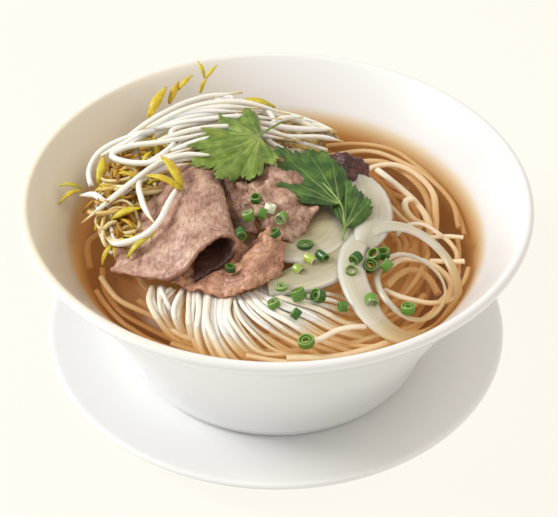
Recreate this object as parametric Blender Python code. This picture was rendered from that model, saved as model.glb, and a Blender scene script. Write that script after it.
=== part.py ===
"""A bowl of rice noodle soup with sliced beef, onion, bean sprouts and coriander, on its saucer.

Sizes are in millimetres with +Z up; new_object turns them into Blender's metres.
The origin is on the table, on the axis of the bowl and the saucer.
"""

import math

import bmesh
import bpy
from mathutils import Vector

# Driving dimensions
RIM_RADIUS = 110.0
RIM_HEIGHT = 90.0
BROTH_LEVEL = 69.5
FOOT_RADIUS = 67.0
SAUCER_RADIUS = 105.0
SAUCER_HEIGHT = 17.0

GAP = 0.3  # air left between neighbours that touch
CLEARANCE = 0.5  # how far a cutter stands off the piece that it makes room for
TURNED_SEGMENTS = 48

# Bowl
LIP_RADIUS = 2.2
WALL_LEAN = 41.0  # of the inner wall from upright, at the lip, in degrees
BODY_EDGE_RADIUS = 69.5
BODY_EDGE_RISE = 5.7  # of the body's lower edge above the foot's underside
SHOULDER_RADIUS = 102.3
SHOULDER_HEIGHT = 78.5
FLOOR_THICKNESS = 4.0
FOOT_WIDTH = 6.0
FOOT_DEPTH = 4.0

# Saucer
WELL_HEIGHT = 5.0
WELL_RADIUS = 70.5
SAUCER_THICKNESS = 3.2
SAUCER_FOOT_OUTER = 56.0
SAUCER_FOOT_INNER = 49.0
SAUCER_LIP = 1.3

# Noodles
NOODLE_RADIUS = 76.0
NOODLE_SHELF = 66.0  # the heap's top away from its mound, just under the broth
MOUND_RISE = 9.3
MOUND_CENTRE = (-8.0, -20.0)
MOUND_REACH = (45.0, 38.0)
NOODLE_BASE = 24.0

# Toppings
SLICE_THICKNESS = 2.0
ONION_THICKNESS = 2.4
LEAF_THICKNESS = 0.6

BOWL_BASE = WELL_HEIGHT + GAP
FLOOR_HEIGHT = BOWL_BASE + FOOT_DEPTH + FLOOR_THICKNESS

UP = Vector((0, 0, 1))


# Shared tools


def material(name, colour, roughness):
    made = bpy.data.materials.new(name)
    made.use_nodes = True
    shader = made.node_tree.nodes["Principled BSDF"]
    shader.inputs["Base Color"].default_value = (*colour, 1)
    shader.inputs["Roughness"].default_value = roughness
    shader.inputs["Metallic"].default_value = 0
    return made


def new_object(name, bm, finish):
    """An object from a bmesh in millimetres."""
    bmesh.ops.scale(bm, vec=(0.001, 0.001, 0.001), verts=bm.verts)
    mesh = bpy.data.meshes.new(name)
    bm.to_mesh(mesh)
    bm.free()
    mesh.shade_smooth()
    mesh.set_sharp_from_angle(angle=math.radians(50))
    mesh.materials.append(finish)
    made = bpy.data.objects.new(name, mesh)
    bpy.context.scene.collection.objects.link(made)
    return made


def hide(cutter):
    """Keeps a cutter or a helper out of the model."""
    cutter.hide_render = True
    cutter.display_type = "WIRE"


def room_for(source):
    """A hidden copy of an object, swollen by the clearance, that cuts its neighbours."""
    made = source.copy()
    made.name = "room_for_" + source.name
    hide(made)
    bpy.context.scene.collection.objects.link(made)
    swell = made.modifiers.new("swell", "DISPLACE")
    swell.direction = "NORMAL"
    swell.mid_level = 0
    swell.strength = CLEARANCE / 1000
    return made


def boolean(target, other, operation="DIFFERENCE"):
    modifier = target.modifiers.new(other.name, "BOOLEAN")
    modifier.operation = operation
    modifier.object = other
    modifier.solver = "EXACT"


def lerp(a, b, t):
    return a + (b - a) * t


def bezier(start, first, second, end, count):
    """Points along a cubic curve, both ends included."""
    points = []
    for i in range(count + 1):
        t = i / count
        s = 1 - t
        weights = (s**3, 3 * s * s * t, 3 * s * t * t, t**3)
        corners = (start, first, second, end)
        points.append(tuple(sum(w * p[k] for w, p in zip(weights, corners)) for k in (0, 1)))
    return points


def arc(centre, radius, start, end, count):
    """Points of an arc in the profile plane; its angles are in degrees."""
    points = []
    for i in range(count + 1):
        angle = math.radians(lerp(start, end, i / count))
        points.append((centre[0] + radius * math.cos(angle), centre[1] + radius * math.sin(angle)))
    return points


def turned(name, profile, finish):
    """A solid turned about the Z axis from a profile of (radius, height) whose ends are on the axis."""
    bm = bmesh.new()
    corners = [bm.verts.new((radius, 0, height)) for radius, height in profile]
    edges = [bm.edges.new(pair) for pair in zip(corners, corners[1:])]
    bmesh.ops.spin(
        bm,
        geom=corners + edges,
        cent=(0, 0, 0),
        axis=(0, 0, 1),
        angle=2 * math.pi,
        steps=TURNED_SEGMENTS,
        use_merge=True,
    )
    bmesh.ops.remove_doubles(bm, verts=bm.verts, dist=0.001)
    bmesh.ops.recalc_face_normals(bm, faces=bm.faces)
    return new_object(name, bm, finish)


def closed_loft(name, rings, finish):
    """A solid through closed rings of equal length, with a flat cap on the first and the last."""
    bm = bmesh.new()
    rows = [[bm.verts.new(point) for point in ring] for ring in rings]
    count = len(rows[0])
    for low, high in zip(rows, rows[1:]):
        for i in range(count):
            j = (i + 1) % count
            bm.faces.new((low[i], low[j], high[j], high[i]))
    bm.faces.new(rows[0])
    bm.faces.new(rows[-1])
    bmesh.ops.recalc_face_normals(bm, faces=bm.faces)
    return new_object(name, bm, finish)


def sheet(name, across, along, place, thickness, finish):
    """A curved sheet: place(u, v) gives its middle surface for u and v from 0 to 1."""
    bm = bmesh.new()
    rows = []
    for j in range(along + 1):
        rows.append([bm.verts.new(place(i / across, j / along)) for i in range(across + 1)])
    for low, high in zip(rows, rows[1:]):
        for i in range(across):
            bm.faces.new((low[i], low[i + 1], high[i + 1], high[i]))
    made = new_object(name, bm, finish)
    solidify = made.modifiers.new("thickness", "SOLIDIFY")
    solidify.thickness = thickness / 1000
    solidify.offset = 0
    return made


# Bowl, saucer and broth


def inner_wall(count):
    """The bowl's inside from the middle of its floor to the lip, as a fair curve."""
    lip_centre = (RIM_RADIUS - LIP_RADIUS, RIM_HEIGHT - LIP_RADIUS)
    lean = math.radians(WALL_LEAN)
    top = (lip_centre[0] - LIP_RADIUS * math.cos(lean), lip_centre[1] + LIP_RADIUS * math.sin(lean))
    pull = 45.0
    below = (top[0] - pull * math.sin(lean), top[1] - pull * math.cos(lean))
    return bezier((0, FLOOR_HEIGHT), (80, FLOOR_HEIGHT), below, top, count)


def body_radius(height):
    """The outside of the bowl's body, upright near the foot and flaring towards the shoulder."""
    low = BOWL_BASE + BODY_EDGE_RISE
    t = (height - low) / (SHOULDER_HEIGHT - low)
    return BODY_EDGE_RADIUS + (SHOULDER_RADIUS - BODY_EDGE_RADIUS) * t**1.25


def add_bowl(finish):
    lip_centre = (RIM_RADIUS - LIP_RADIUS, RIM_HEIGHT - LIP_RADIUS)
    body_low = BOWL_BASE + BODY_EDGE_RISE
    profile = inner_wall(9)
    profile += arc(lip_centre, LIP_RADIUS, 90, -30, 3)
    profile.append((SHOULDER_RADIUS + 2.0, SHOULDER_HEIGHT + 1.8))
    profile += [(body_radius(h), h) for h in (SHOULDER_HEIGHT, 62, 45, 28, body_low)]
    profile.append((FOOT_RADIUS - 0.6, BOWL_BASE + 3.8))
    profile.append((FOOT_RADIUS, BOWL_BASE))
    profile.append((FOOT_RADIUS - FOOT_WIDTH, BOWL_BASE))
    profile.append((FOOT_RADIUS - FOOT_WIDTH - 1, BOWL_BASE + FOOT_DEPTH))
    profile.append((0, BOWL_BASE + FOOT_DEPTH))
    return turned("bowl", profile, finish)


def add_saucer(finish):
    edge = (SAUCER_RADIUS - SAUCER_LIP, SAUCER_HEIGHT - SAUCER_LIP)
    under = WELL_HEIGHT - SAUCER_THICKNESS
    profile = [(0, WELL_HEIGHT)]
    profile += bezier((WELL_RADIUS, WELL_HEIGHT), (80, 5.2), (92, 11.5), (edge[0] - 0.5, SAUCER_HEIGHT - 0.1), 4)
    profile += arc(edge, SAUCER_LIP, 60, -60, 2)
    profile += bezier((100, 12.5), (90, 7.6), (76, under), (SAUCER_FOOT_OUTER + 1, under), 3)
    profile.append((SAUCER_FOOT_OUTER, 0))
    profile.append((SAUCER_FOOT_INNER, 0))
    profile.append((SAUCER_FOOT_INNER - 1, under))
    profile.append((0, under))
    return turned("saucer", profile, finish)


def add_broth(finish):
    """The broth fills the bowl up to its level, a hair off the wall."""
    wall = inner_wall(12)
    profile = []
    for (r0, z0), (r1, z1) in zip(wall, wall[1:]):
        length = math.hypot(r1 - r0, z1 - z0)
        middle = ((r0 + r1) / 2, (z0 + z1) / 2)
        inset = (-(z1 - z0) / length * GAP, (r1 - r0) / length * GAP)
        point = (middle[0] + inset[0], middle[1] + inset[1])
        if point[1] < BROTH_LEVEL - 1:
            profile.append(point)
            slope = (r1 - r0) / (z1 - z0)
    profile.insert(0, (0, FLOOR_HEIGHT + GAP))
    last = profile[-1]
    profile.append((last[0] + (BROTH_LEVEL - last[1]) * slope, BROTH_LEVEL))
    profile.append((0, BROTH_LEVEL))
    return turned("broth", profile, finish)


# Noodles and bean sprouts, each a heap out to its uneven outline


def mound_height(x, y):
    """The top of the noodle heap: a shelf under the broth, and a mound that stands out of it."""
    away = ((x - MOUND_CENTRE[0]) / MOUND_REACH[0]) ** 2 + ((y - MOUND_CENTRE[1]) / MOUND_REACH[1]) ** 2
    return NOODLE_SHELF + MOUND_RISE * math.exp(-away)


def add_noodles(finish):
    around = 32
    strands = 8
    rings = []
    for share in (1.0, 0.93, 0.78, 0.62, 0.46, 0.30, 0.14):
        ring = []
        for i in range(around):
            angle = 2 * math.pi * i / around
            radius = NOODLE_RADIUS * share * (1 + 0.02 * math.sin(5 * angle))
            x, y = radius * math.cos(angle), radius * math.sin(angle)
            ridge = 0.6 * share * math.cos(strands * angle + 3 * share)
            edge_fall = 9 * max(0.0, share - 0.9) * 10
            ring.append((x, y, mound_height(x, y) + ridge - edge_fall))
        rings.append(ring)
    for radius, height in ((NOODLE_RADIUS - 7, 46), (NOODLE_RADIUS - 22, 33), (NOODLE_RADIUS - 40, NOODLE_BASE)):
        ring = []
        for i in range(around):
            angle = 2 * math.pi * i / around
            wavy = radius * (1 + 0.02 * math.sin(7 * angle))
            ring.append((wavy * math.cos(angle), wavy * math.sin(angle), height))
        rings.insert(0, ring)
    return closed_loft("noodles", rings, finish)


def add_sprouts(finish):
    """A banana-shaped heap that lies along the back left of the wall, on the broth."""
    start, end = 198.0, 62.0
    stations, around = 22, 12
    rings = []
    for i in range(stations + 1):
        t = i / stations
        angle = math.radians(lerp(start, end, t))
        swell = math.sin(math.pi * lerp(0.06, 0.94, t)) ** 0.6
        half_width = 20 * swell + 1.5 * math.sin(19 * t)
        height = 17 * swell + 1.8 * math.sin(17 * t + 1)
        middle = 66.0 - 5 * t
        ring = []
        for k in range(around):
            turn = 2 * math.pi * k / around
            bump = 1 + 0.09 * math.sin(3 * turn + 11 * t) + 0.05 * math.sin(4 * turn - 25 * t)
            radius = middle + half_width * math.cos(turn) * bump
            rise = max(0.0, math.sin(turn)) ** 0.8 * height * bump
            z = BROTH_LEVEL + GAP + rise + 0.8 * (math.sin(turn) > 0)
            leaning = radius + 0.35 * rise
            ring.append((leaning * math.cos(angle), leaning * math.sin(angle), z))
        rings.append(ring)
    return closed_loft("bean_sprouts", rings, finish)


# Beef


def slice_surface(back_left, back_right, front_right, front_left, arch, bulge, roll, under, frill):
    """A slice laid over the heap whose right edge rolls under itself.

    The four corners are those of the upper layer. arch lifts its middle, bulge pushes its
    front edge out, roll is the radius of the turned edge, under is how far it runs back
    below, and frill is the height of the ripples.
    """
    back_left, back_right = Vector(back_left), Vector(back_right)
    front_right, front_left = Vector(front_right), Vector(front_left)
    forward = (front_left + front_right - back_left - back_right).normalized()
    top_share, roll_share = (0.5, 0.3) if roll else (1.0, 0.0)

    def place(u, v):
        left = back_left.lerp(front_left, v)
        edge = back_right.lerp(front_right, v)
        outward = edge - left
        outward.z = 0
        outward.normalize()
        ripple = UP * frill * math.sin(9 * v + 5 * u)
        if u <= top_share:
            s = u / top_share
            push = bulge * math.sin(math.pi * min(s, 1)) * v * v
            return left.lerp(edge, s) + UP * arch * math.sin(math.pi * s) + forward * push + ripple
        centre = edge - UP * roll
        if u <= top_share + roll_share:
            turn = math.pi * (u - top_share) / roll_share
            return centre + (outward * math.sin(turn) + UP * math.cos(turn)) * roll + ripple
        back = (u - top_share - roll_share) / (1 - top_share - roll_share)
        return centre - UP * roll - outward * under * back + ripple

    return place


BEEF_SLICES = {
    "beef_slice_large": dict(
        back_left=(-47, 26, 80),
        back_right=(-29, 20, 86),
        front_right=(-21, -31, 86),
        front_left=(-69, -34, 73),
        arch=2.5,
        bulge=18,
        roll=4.5,
        under=24,
        frill=0.5,
    ),
    "beef_slice_narrow": dict(
        back_left=(-21, 14, 80),
        back_right=(-15, 15, 82),
        front_right=(-11, -21, 82),
        front_left=(-15, -26, 79.5),
        arch=0.5,
        bulge=1,
        roll=2.0,
        under=2,
        frill=0.3,
    ),
    "beef_slice_back": dict(
        back_left=(-13, 20, 86),
        back_right=(9, 18, 86),
        front_right=(8, -30, 83),
        front_left=(-6, -12, 85.5),
        arch=1.0,
        bulge=2,
        roll=2.6,
        under=5,
        frill=0.5,
    ),
    "beef_slice_front": dict(
        back_left=(-13, -32, 75.8),
        back_right=(-4, -24, 79.5),
        front_right=(-11, -54, 76),
        front_left=(-36, -48, 74.0),
        arch=-0.8,
        bulge=6,
        roll=2.2,
        under=3,
        frill=0.4,
    ),
    "beef_slice_right": dict(
        back_left=(24, 36, 75),
        back_right=(41, 35, 76),
        front_right=(39, 19, 76),
        front_left=(27, 17, 75),
        arch=5.0,
        bulge=0,
        roll=0,
        under=0,
        frill=0.8,
    ),
}


def add_beef(finish):
    made = []
    for name, sizes in BEEF_SLICES.items():
        across = 10 if sizes["roll"] else 5
        made.append(sheet(name, across, 7, slice_surface(**sizes), SLICE_THICKNESS, finish))
    return made


# Onion


def crescent_surface(centre, inner, outer, start, end, inner_height, outer_height):
    """A cupped crescent: the angles are in degrees, and the heights are those of its two edges."""

    def place(u, v):
        angle = math.radians(lerp(start, end, v))
        taper = math.sin(math.pi * lerp(0.12, 0.88, v)) ** 0.5
        middle = (inner + outer) / 2
        radius = middle + (u - 0.5) * (outer - inner) * taper
        height = lerp(inner_height, outer_height, u) + 0.8 * math.sin(math.pi * u)
        return Vector((centre[0] + radius * math.cos(angle), centre[1] + radius * math.sin(angle), height))

    return place


ONION_SLICES = {
    "onion_slice_inner": dict(
        centre=(6, -6), inner=10, outer=27, start=38, end=-100, inner_height=74.4, outer_height=74.4
    ),
    "onion_slice_middle": dict(
        centre=(-10, 2), inner=42, outer=56, start=10, end=-80, inner_height=70.9, outer_height=70.9
    ),
    "onion_slice_outer": dict(
        centre=(-10, 2), inner=50, outer=60, start=16, end=-8, inner_height=75.6, outer_height=74.2
    ),
}


def onion_ring(name, centre, reach, band, depth, back_height, front_height, finish):
    """An oval ring with a rounded section, tipped so that its front runs under the broth."""
    around, section = 24, 6
    bm = bmesh.new()
    rows = []
    for i in range(around):
        angle = 2 * math.pi * i / around
        row = []
        for k in range(section):
            turn = 2 * math.pi * (k + 0.5) / section
            inward = band * (0.5 - 0.5 * math.cos(turn))
            x = centre[0] + (reach[0] - inward) * math.cos(angle)
            y = centre[1] + (reach[1] - inward) * math.sin(angle)
            tip = lerp(front_height, back_height, 0.5 + 0.5 * math.sin(angle))
            row.append(bm.verts.new((x, y, tip + depth / 2 * math.sin(turn))))
        rows.append(row)
    for i in range(around):
        this, following = rows[i], rows[(i + 1) % around]
        for k in range(section):
            j = (k + 1) % section
            bm.faces.new((this[k], this[j], following[j], following[k]))
    bmesh.ops.recalc_face_normals(bm, faces=bm.faces)
    return new_object(name, bm, finish)


def add_onions(finish):
    slices = []
    for name, sizes in ONION_SLICES.items():
        slices.append(sheet(name, 3, 12, crescent_surface(**sizes), ONION_THICKNESS, finish))
    large = onion_ring("onion_ring_large", (50, -34), (24, 30), 8.0, 3.0, 73.5, 65.0, finish)
    small = onion_ring("onion_ring_small", (53, -38), (12.5, 15), 3.0, 3.0, 71.5, 67.0, finish)
    return slices, [large, small]


# Coriander


def leaf_outline(length, width, lobes):
    """Half angles and radii of a lobed leaf with small teeth, seen from the foot of its stalk."""
    steps = lobes * 8
    points = []
    for i in range(steps + 1):
        t = i / steps
        angle = lerp(-1.25, 1.25, t)
        lobe = 0.5 - 0.5 * math.cos(2 * math.pi * lobes * t)
        tooth = 0.06 * math.sin(6 * math.pi * lobes * t)
        radius = 0.58 + 0.36 * lobe + tooth * lobe
        points.append((length * radius * math.cos(angle), width / 1.8 * radius * math.sin(angle)))
    return points


def add_leaf(name, base, heading, pitch, length, width, lobes, finish):
    """A flat leaf of even thickness with a short stalk; heading and pitch are in degrees."""
    outline = [(-5, 0.8)] + [(-5, -0.8)] + leaf_outline(length, width, lobes)
    cos_h, sin_h = math.cos(math.radians(heading)), math.sin(math.radians(heading))
    cos_p, sin_p = math.cos(math.radians(pitch)), math.sin(math.radians(pitch))
    bm = bmesh.new()
    rim = []
    for ahead, aside in outline:
        flat = ahead * cos_p
        x = base[0] + flat * cos_h - aside * sin_h
        y = base[1] + flat * sin_h + aside * cos_h
        rim.append(bm.verts.new((x, y, base[2] + ahead * sin_p)))
    face = bm.faces.new(rim)
    face.normal_update()
    if face.normal.z < 0:
        face.normal_flip()
    bottom = bmesh.ops.extrude_face_region(bm, geom=[face])
    moved = [item for item in bottom["geom"] if isinstance(item, bmesh.types.BMVert)]
    bmesh.ops.translate(bm, verts=moved, vec=(0, 0, LEAF_THICKNESS))
    bmesh.ops.triangulate(bm, faces=bm.faces)
    bmesh.ops.recalc_face_normals(bm, faces=bm.faces)
    return new_object(name, bm, finish)


def add_coriander(finish):
    light = add_leaf("coriander_leaf_left", (-4, 27, 91.5), 207, 2, 34, 44, 5, finish)
    dark = add_leaf("coriander_leaf_right", (24, -4, 86.0), 122, 7, 38, 30, 3, finish)
    tip = add_leaf("coriander_leaf_tip", (23, -4, 85.9), -42, -14, 19, 22, 3, finish)
    hide(tip)
    boolean(dark, tip, "UNION")
    return [light, dark]


# The whole


def clear_scene():
    for old in list(bpy.data.objects):
        bpy.data.objects.remove(old, do_unlink=True)


def main():
    clear_scene()
    porcelain = material("white_porcelain", (0.88, 0.88, 0.87), 0.12)
    broth_finish = material("beef_broth", (0.45, 0.21, 0.07), 0.08)
    rice_noodle = material("rice_noodle", (0.88, 0.84, 0.76), 0.35)
    beef_finish = material("cooked_beef", (0.42, 0.22, 0.17), 0.55)
    onion_finish = material("onion", (0.78, 0.79, 0.66), 0.25)
    sprout_finish = material("bean_sprout", (0.86, 0.84, 0.72), 0.3)
    leaf_finish = material("coriander", (0.13, 0.27, 0.05), 0.45)

    add_saucer(porcelain)
    add_bowl(porcelain)
    broth = add_broth(broth_finish)
    noodles = add_noodles(rice_noodle)
    sprouts = add_sprouts(sprout_finish)
    beef = add_beef(beef_finish)
    onion_slices, onion_rings = add_onions(onion_finish)
    add_coriander(leaf_finish)

    boolean(broth, room_for(noodles))
    for ring in onion_rings:
        room = room_for(ring)
        for around in [broth, noodles] + onion_slices:
            boolean(around, room)
    for onion in onion_slices:
        boolean(noodles, room_for(onion))
    for piece in beef:
        room = room_for(piece)
        boolean(noodles, room)
        boolean(sprouts, room)



main()
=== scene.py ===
# %% [markdown]
# # A bowl of rice noodle soup
# The scene starts from the imported solids, which fix every size and place. Each solid is then replaced by a
# finer piece that stands in the same spot: turned porcelain, strands of noodle, single bean sprouts, slices
# of beef with frilled edges, and so on.

import math
import random

import bmesh
import bpy
from mathutils import Matrix, Vector, noise


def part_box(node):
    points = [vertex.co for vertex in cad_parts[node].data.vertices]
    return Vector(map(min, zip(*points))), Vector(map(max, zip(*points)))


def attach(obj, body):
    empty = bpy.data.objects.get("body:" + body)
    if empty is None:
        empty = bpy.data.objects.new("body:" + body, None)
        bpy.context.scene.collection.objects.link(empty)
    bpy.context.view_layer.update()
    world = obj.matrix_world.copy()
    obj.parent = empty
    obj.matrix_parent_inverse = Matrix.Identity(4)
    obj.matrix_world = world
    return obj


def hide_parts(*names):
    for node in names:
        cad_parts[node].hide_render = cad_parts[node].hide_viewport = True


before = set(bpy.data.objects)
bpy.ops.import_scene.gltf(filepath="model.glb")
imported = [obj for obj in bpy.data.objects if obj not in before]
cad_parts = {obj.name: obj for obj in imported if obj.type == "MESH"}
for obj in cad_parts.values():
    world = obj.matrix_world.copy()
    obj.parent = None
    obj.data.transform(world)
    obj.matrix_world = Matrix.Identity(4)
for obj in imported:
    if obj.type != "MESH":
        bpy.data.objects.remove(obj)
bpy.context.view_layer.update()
print("nodes:", len(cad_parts))

# %% [markdown]
# ## Units, colours and nodes
# The lists of points below are in millimetres, which suit food; MM turns them into metres. Colours are
# written as the sRGB hex values that a paint program shows, and one function makes them linear, which is
# what shaders work in.

# %% Helpers for sizes and colours
MM = 0.001


def linear(hex_colour):
    """An sRGB hex colour as linear red, green, blue and a full alpha."""
    channels = [int(hex_colour[i : i + 2], 16) / 255 for i in (0, 2, 4)]
    return [c / 12.92 if c < 0.04045 else ((c + 0.055) / 1.055) ** 2.4 for c in channels] + [1]


def mix(a, b, t):
    return a + (b - a) * t


def smooth(t):
    t = max(0.0, min(1.0, t))
    return t * t * (3 - 2 * t)


def add_node(tree, kind, inputs=None, **settings):
    """Adds a node. Its inputs are values, or sockets of other nodes to link from."""
    made = tree.nodes.new(kind)
    for name, value in settings.items():
        setattr(made, name, value)
    for key, value in (inputs or {}).items():
        if isinstance(value, bpy.types.NodeSocket):
            tree.links.new(value, made.inputs[key])
        else:
            made.inputs[key].default_value = value
    return made


def new_material(name, **values):
    """A material with one Principled shader whose constant values are set on its own sockets."""
    made = bpy.data.materials.new(name)
    made.use_nodes = True
    tree = made.node_tree
    tree.nodes.clear()
    shader = add_node(tree, "ShaderNodeBsdfPrincipled")
    for key, value in values.items():
        shader.inputs[key.replace("_", " ")].default_value = value
    add_node(tree, "ShaderNodeOutputMaterial", {"Surface": shader.outputs[0]})
    return made, tree, shader


def ramp(tree, factor, stops, interpolation="LINEAR"):
    """A colour ramp from (place, hex colour) pairs."""
    made = add_node(tree, "ShaderNodeValToRGB", {"Fac": factor})
    made.color_ramp.interpolation = interpolation
    elements = made.color_ramp.elements
    while len(elements) < len(stops):
        elements.new(0.5)
    for element, (place, colour) in zip(elements, stops):
        element.position = place
        element.color = linear(colour)
    return made.outputs["Color"]


def blend_colours(tree, factor, first, second, kind="MIX"):
    """Mixes two colours. The colour sockets of this node are numbers 6 and 7 in and 2 out."""
    values = {0: factor, 6: first, 7: second}
    return add_node(tree, "ShaderNodeMix", values, data_type="RGBA", blend_type=kind).outputs[2]


def object_place(tree):
    return add_node(tree, "ShaderNodeTexCoord").outputs["Object"]


def named_value(tree, name):
    return add_node(tree, "ShaderNodeAttribute", attribute_name=name).outputs["Fac"]


def calculate(tree, operation, first, second):
    return add_node(tree, "ShaderNodeMath", {0: first, 1: second}, operation=operation).outputs[0]


def vector_math(tree, operation, first, second, output):
    inputs = {0: first} if second is None else {0: first, 1: second}
    return add_node(tree, "ShaderNodeVectorMath", inputs, operation=operation).outputs[output]


def spread(tree, value, start, end, low=0.0, high=1.0):
    """How far a value is from start to end, given as a number from low to high."""
    limits = {"Value": value, "From Min": start, "From Max": end, "To Min": low, "To Max": high}
    return add_node(tree, "ShaderNodeMapRange", limits).outputs["Result"]


def cover(tree, shader, colour, normal=None):
    """Links a colour, and a normal where there is one, to a shader."""
    tree.links.new(colour, shader.inputs["Base Color"])
    if normal is not None:
        tree.links.new(normal, shader.inputs["Normal"])


# %% [markdown]
# ## The frame's own sizes
# Everything is placed from the boxes of the solids. The broth's top is the level that stains whatever lies
# below it; the bowl's box gives the rim.

# %% Read the frame
bowl_low, bowl_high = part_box("bowl")
saucer_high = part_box("saucer")[1]
broth_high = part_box("broth")[1]
RIM = bowl_high.x / MM
RIM_HEIGHT = bowl_high.z / MM
BOWL_BASE = bowl_low.z / MM
LEVEL = broth_high.z / MM
SAUCER = saucer_high.x / MM
SAUCER_HEIGHT = saucer_high.z / MM
print(f"rim {RIM:.1f} mm at {RIM_HEIGHT:.1f} mm, broth level {LEVEL:.1f} mm")

# %% [markdown]
# ## How broth colours what is under it
# Beef broth is clear but amber: a thing just under the surface looks cream, a centimetre down it is orange
# brown, and the bottom can't be seen. Real absorption through a refracting surface is slow and noisy to
# render, so each sunken finish is stained by its own depth instead, and the surface above is a thin clear
# sheet. Real broth also scatters light, which is painted in as a little amber glow on each sunken finish,
# with painted shade that dims the glow under the beef. Both read only Object coordinates, so they stay put
# from every side.

# %% The stain of the broth
STAIN_DEPTH = 26.0  # where the last colour of both ramps is reached, in mm under the surface
# The glow is painted light, and its dimming around the middle below is painted shade under the beef.
SHADE_MIDDLE = (-20.0, -12.0)  # the middle of the shade under the beef
SHADE_REACH = (18.0, 44.0)  # how far the full shade and its soft edge reach
SHADE_LIGHT = 0.12  # the share of the scattered light that is left in the shade
BROTH_STAIN = [
    (0.0, "FFFFFF"),
    (0.04, "FCF6EA"),
    (0.1, "EEDFC4"),
    (0.2, "C9AE84"),
    (0.35, "84592A"),
    (0.55, "4A2E14"),
    (1.0, "1E120A"),
]
# Painted light: the colour of the amber glow at each depth.
BROTH_GLOW = [
    (0.0, "000000"),
    (0.06, "201609"),
    (0.2, "6A4C28"),
    (0.35, "86592C"),
    (0.55, "6C3E18"),
    (1.0, "5C2E12"),
]


def under_broth(tree, shader, colour):
    """Stains a colour by the broth above it; a painted glow stands for the light the broth scatters."""
    place = object_place(tree)
    height = add_node(tree, "ShaderNodeSeparateXYZ", {"Vector": place}).outputs["Z"]
    depth = spread(tree, height, LEVEL * MM, (LEVEL - STAIN_DEPTH) * MM)
    tree.links.new(ramp(tree, depth, BROTH_GLOW), shader.inputs["Emission Color"])
    # Painted shade: the glow is dimmed near a fixed point under the beef.
    middle = (SHADE_MIDDLE[0] * MM, SHADE_MIDDLE[1] * MM, LEVEL * MM)
    apart = vector_math(tree, "DISTANCE", place, middle, "Value")
    open_light = spread(tree, apart, SHADE_REACH[0] * MM, SHADE_REACH[1] * MM, SHADE_LIGHT)
    tree.links.new(open_light, shader.inputs["Emission Strength"])
    return blend_colours(tree, 1.0, colour, ramp(tree, depth, BROTH_STAIN), "MULTIPLY")


def stretched_noise(tree, place, stretch, scale, detail, roughness):
    mapped = add_node(tree, "ShaderNodeMapping", {"Vector": place, "Scale": stretch}).outputs[0]
    values = {"Vector": mapped, "Scale": scale, "Detail": detail, "Roughness": roughness}
    return add_node(tree, "ShaderNodeTexNoise", values).outputs["Fac"]


def textured(tree, scale_mm, detail=4.0, stretch=(1, 1, 1), roughness=0.55):
    """Noise whose blotches are about scale_mm across, in Object coordinates."""
    return stretched_noise(tree, object_place(tree), stretch, 1 / (scale_mm * MM), detail, roughness)


def sheet_place(tree):
    return add_node(tree, "ShaderNodeUVMap", uv_map="sheet").outputs[0]


def sheet_noise(tree, stretch, scale, detail, roughness=0.5):
    """Noise over a sheet's own UV map, which can be stretched into lines along or across it."""
    return stretched_noise(tree, sheet_place(tree), stretch, scale, detail, roughness)


def bump(tree, height, depth_mm, strength=1.0, under=None):
    inputs = {"Height": height, "Distance": depth_mm * MM, "Strength": strength}
    if under is not None:
        inputs["Normal"] = under
    return add_node(tree, "ShaderNodeBump", inputs).outputs[0]


# %% [markdown]
# ## Porcelain
# The bowl and saucer are hard white hotel porcelain, cast and then glazed. The glaze is a thin glass coat, so
# it gets a low roughness and a faint unevenness that breaks up its reflections. Inside, below the broth, the
# same white wall is stained by its depth, and its left side is tinted beige: a painted reflection of the food
# that it faces, and painted shade on the side away from the key light.

# %% Porcelain finishes
# Painted reflection and shade: the left inner wall is tinted beige, more so further left.
PAINTED_BEIGE_REFLECTION = "E9DDC2"
REFLECTION_FROM, REFLECTION_TO = -5.0, -95.0  # across the bowl, in mm
REFLECTION_MOST = 0.8


def porcelain_finish(name, inside):
    finish, tree, shader = new_material(
        name, IOR=1.5, Roughness=0.24, Coat_Weight=0.15, Coat_Roughness=0.08
    )
    white = ramp(tree, textured(tree, 60, 2), [(0.3, "EDEDEC"), (0.7, "F1F1F0")])
    if inside:
        # painted warm reflection and shade on the left inner wall
        side = add_node(tree, "ShaderNodeSeparateXYZ", {"Vector": object_place(tree)}).outputs["X"]
        cast = spread(tree, side, REFLECTION_FROM * MM, REFLECTION_TO * MM, 0.0, REFLECTION_MOST)
        white = under_broth(tree, shader, blend_colours(tree, cast, white, linear(PAINTED_BEIGE_REFLECTION)))
    cover(tree, shader, white, bump(tree, textured(tree, 14, 1), 0.06, 0.3))
    return finish


porcelain = porcelain_finish("glazed_white_porcelain", False)
inner_porcelain = porcelain_finish("glazed_white_porcelain_inside", True)

# %% [markdown]
# ## Turned pieces
# Bowl and saucer are both turned: a profile in one plane, spun about the upright axis. The profile goes from
# the middle of the inside, over the lip and down the outside to the middle of the underside, with the curves
# of the solids but in many more steps, so that no facet shows along the rim.

# %% Curves and turning
def bezier(start, first, second, end, count):
    points = []
    for i in range(count + 1):
        t = i / count
        weights = ((1 - t) ** 3, 3 * (1 - t) ** 2 * t, 3 * (1 - t) * t * t, t**3)
        corners = (start, first, second, end)
        points.append(tuple(sum(w * p[k] for w, p in zip(weights, corners)) for k in (0, 1)))
    return points


def arc(centre, radius, start, end, count):
    angles = [math.radians(mix(start, end, i / count)) for i in range(count + 1)]
    return [(centre[0] + radius * math.cos(a), centre[1] + radius * math.sin(a)) for a in angles]


def object_from(bm, name, finishes, sharp=45):
    """A smooth-shaded object at the origin from a bmesh in millimetres."""
    bmesh.ops.scale(bm, vec=(MM, MM, MM), verts=bm.verts)
    mesh = bpy.data.meshes.new(name)
    bm.to_mesh(mesh)
    bm.free()
    mesh.shade_smooth()
    mesh.set_sharp_from_angle(angle=math.radians(sharp))
    for finish in finishes:
        mesh.materials.append(finish)
    made = bpy.data.objects.new(name, mesh)
    bpy.context.scene.collection.objects.link(made)
    return made


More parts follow.
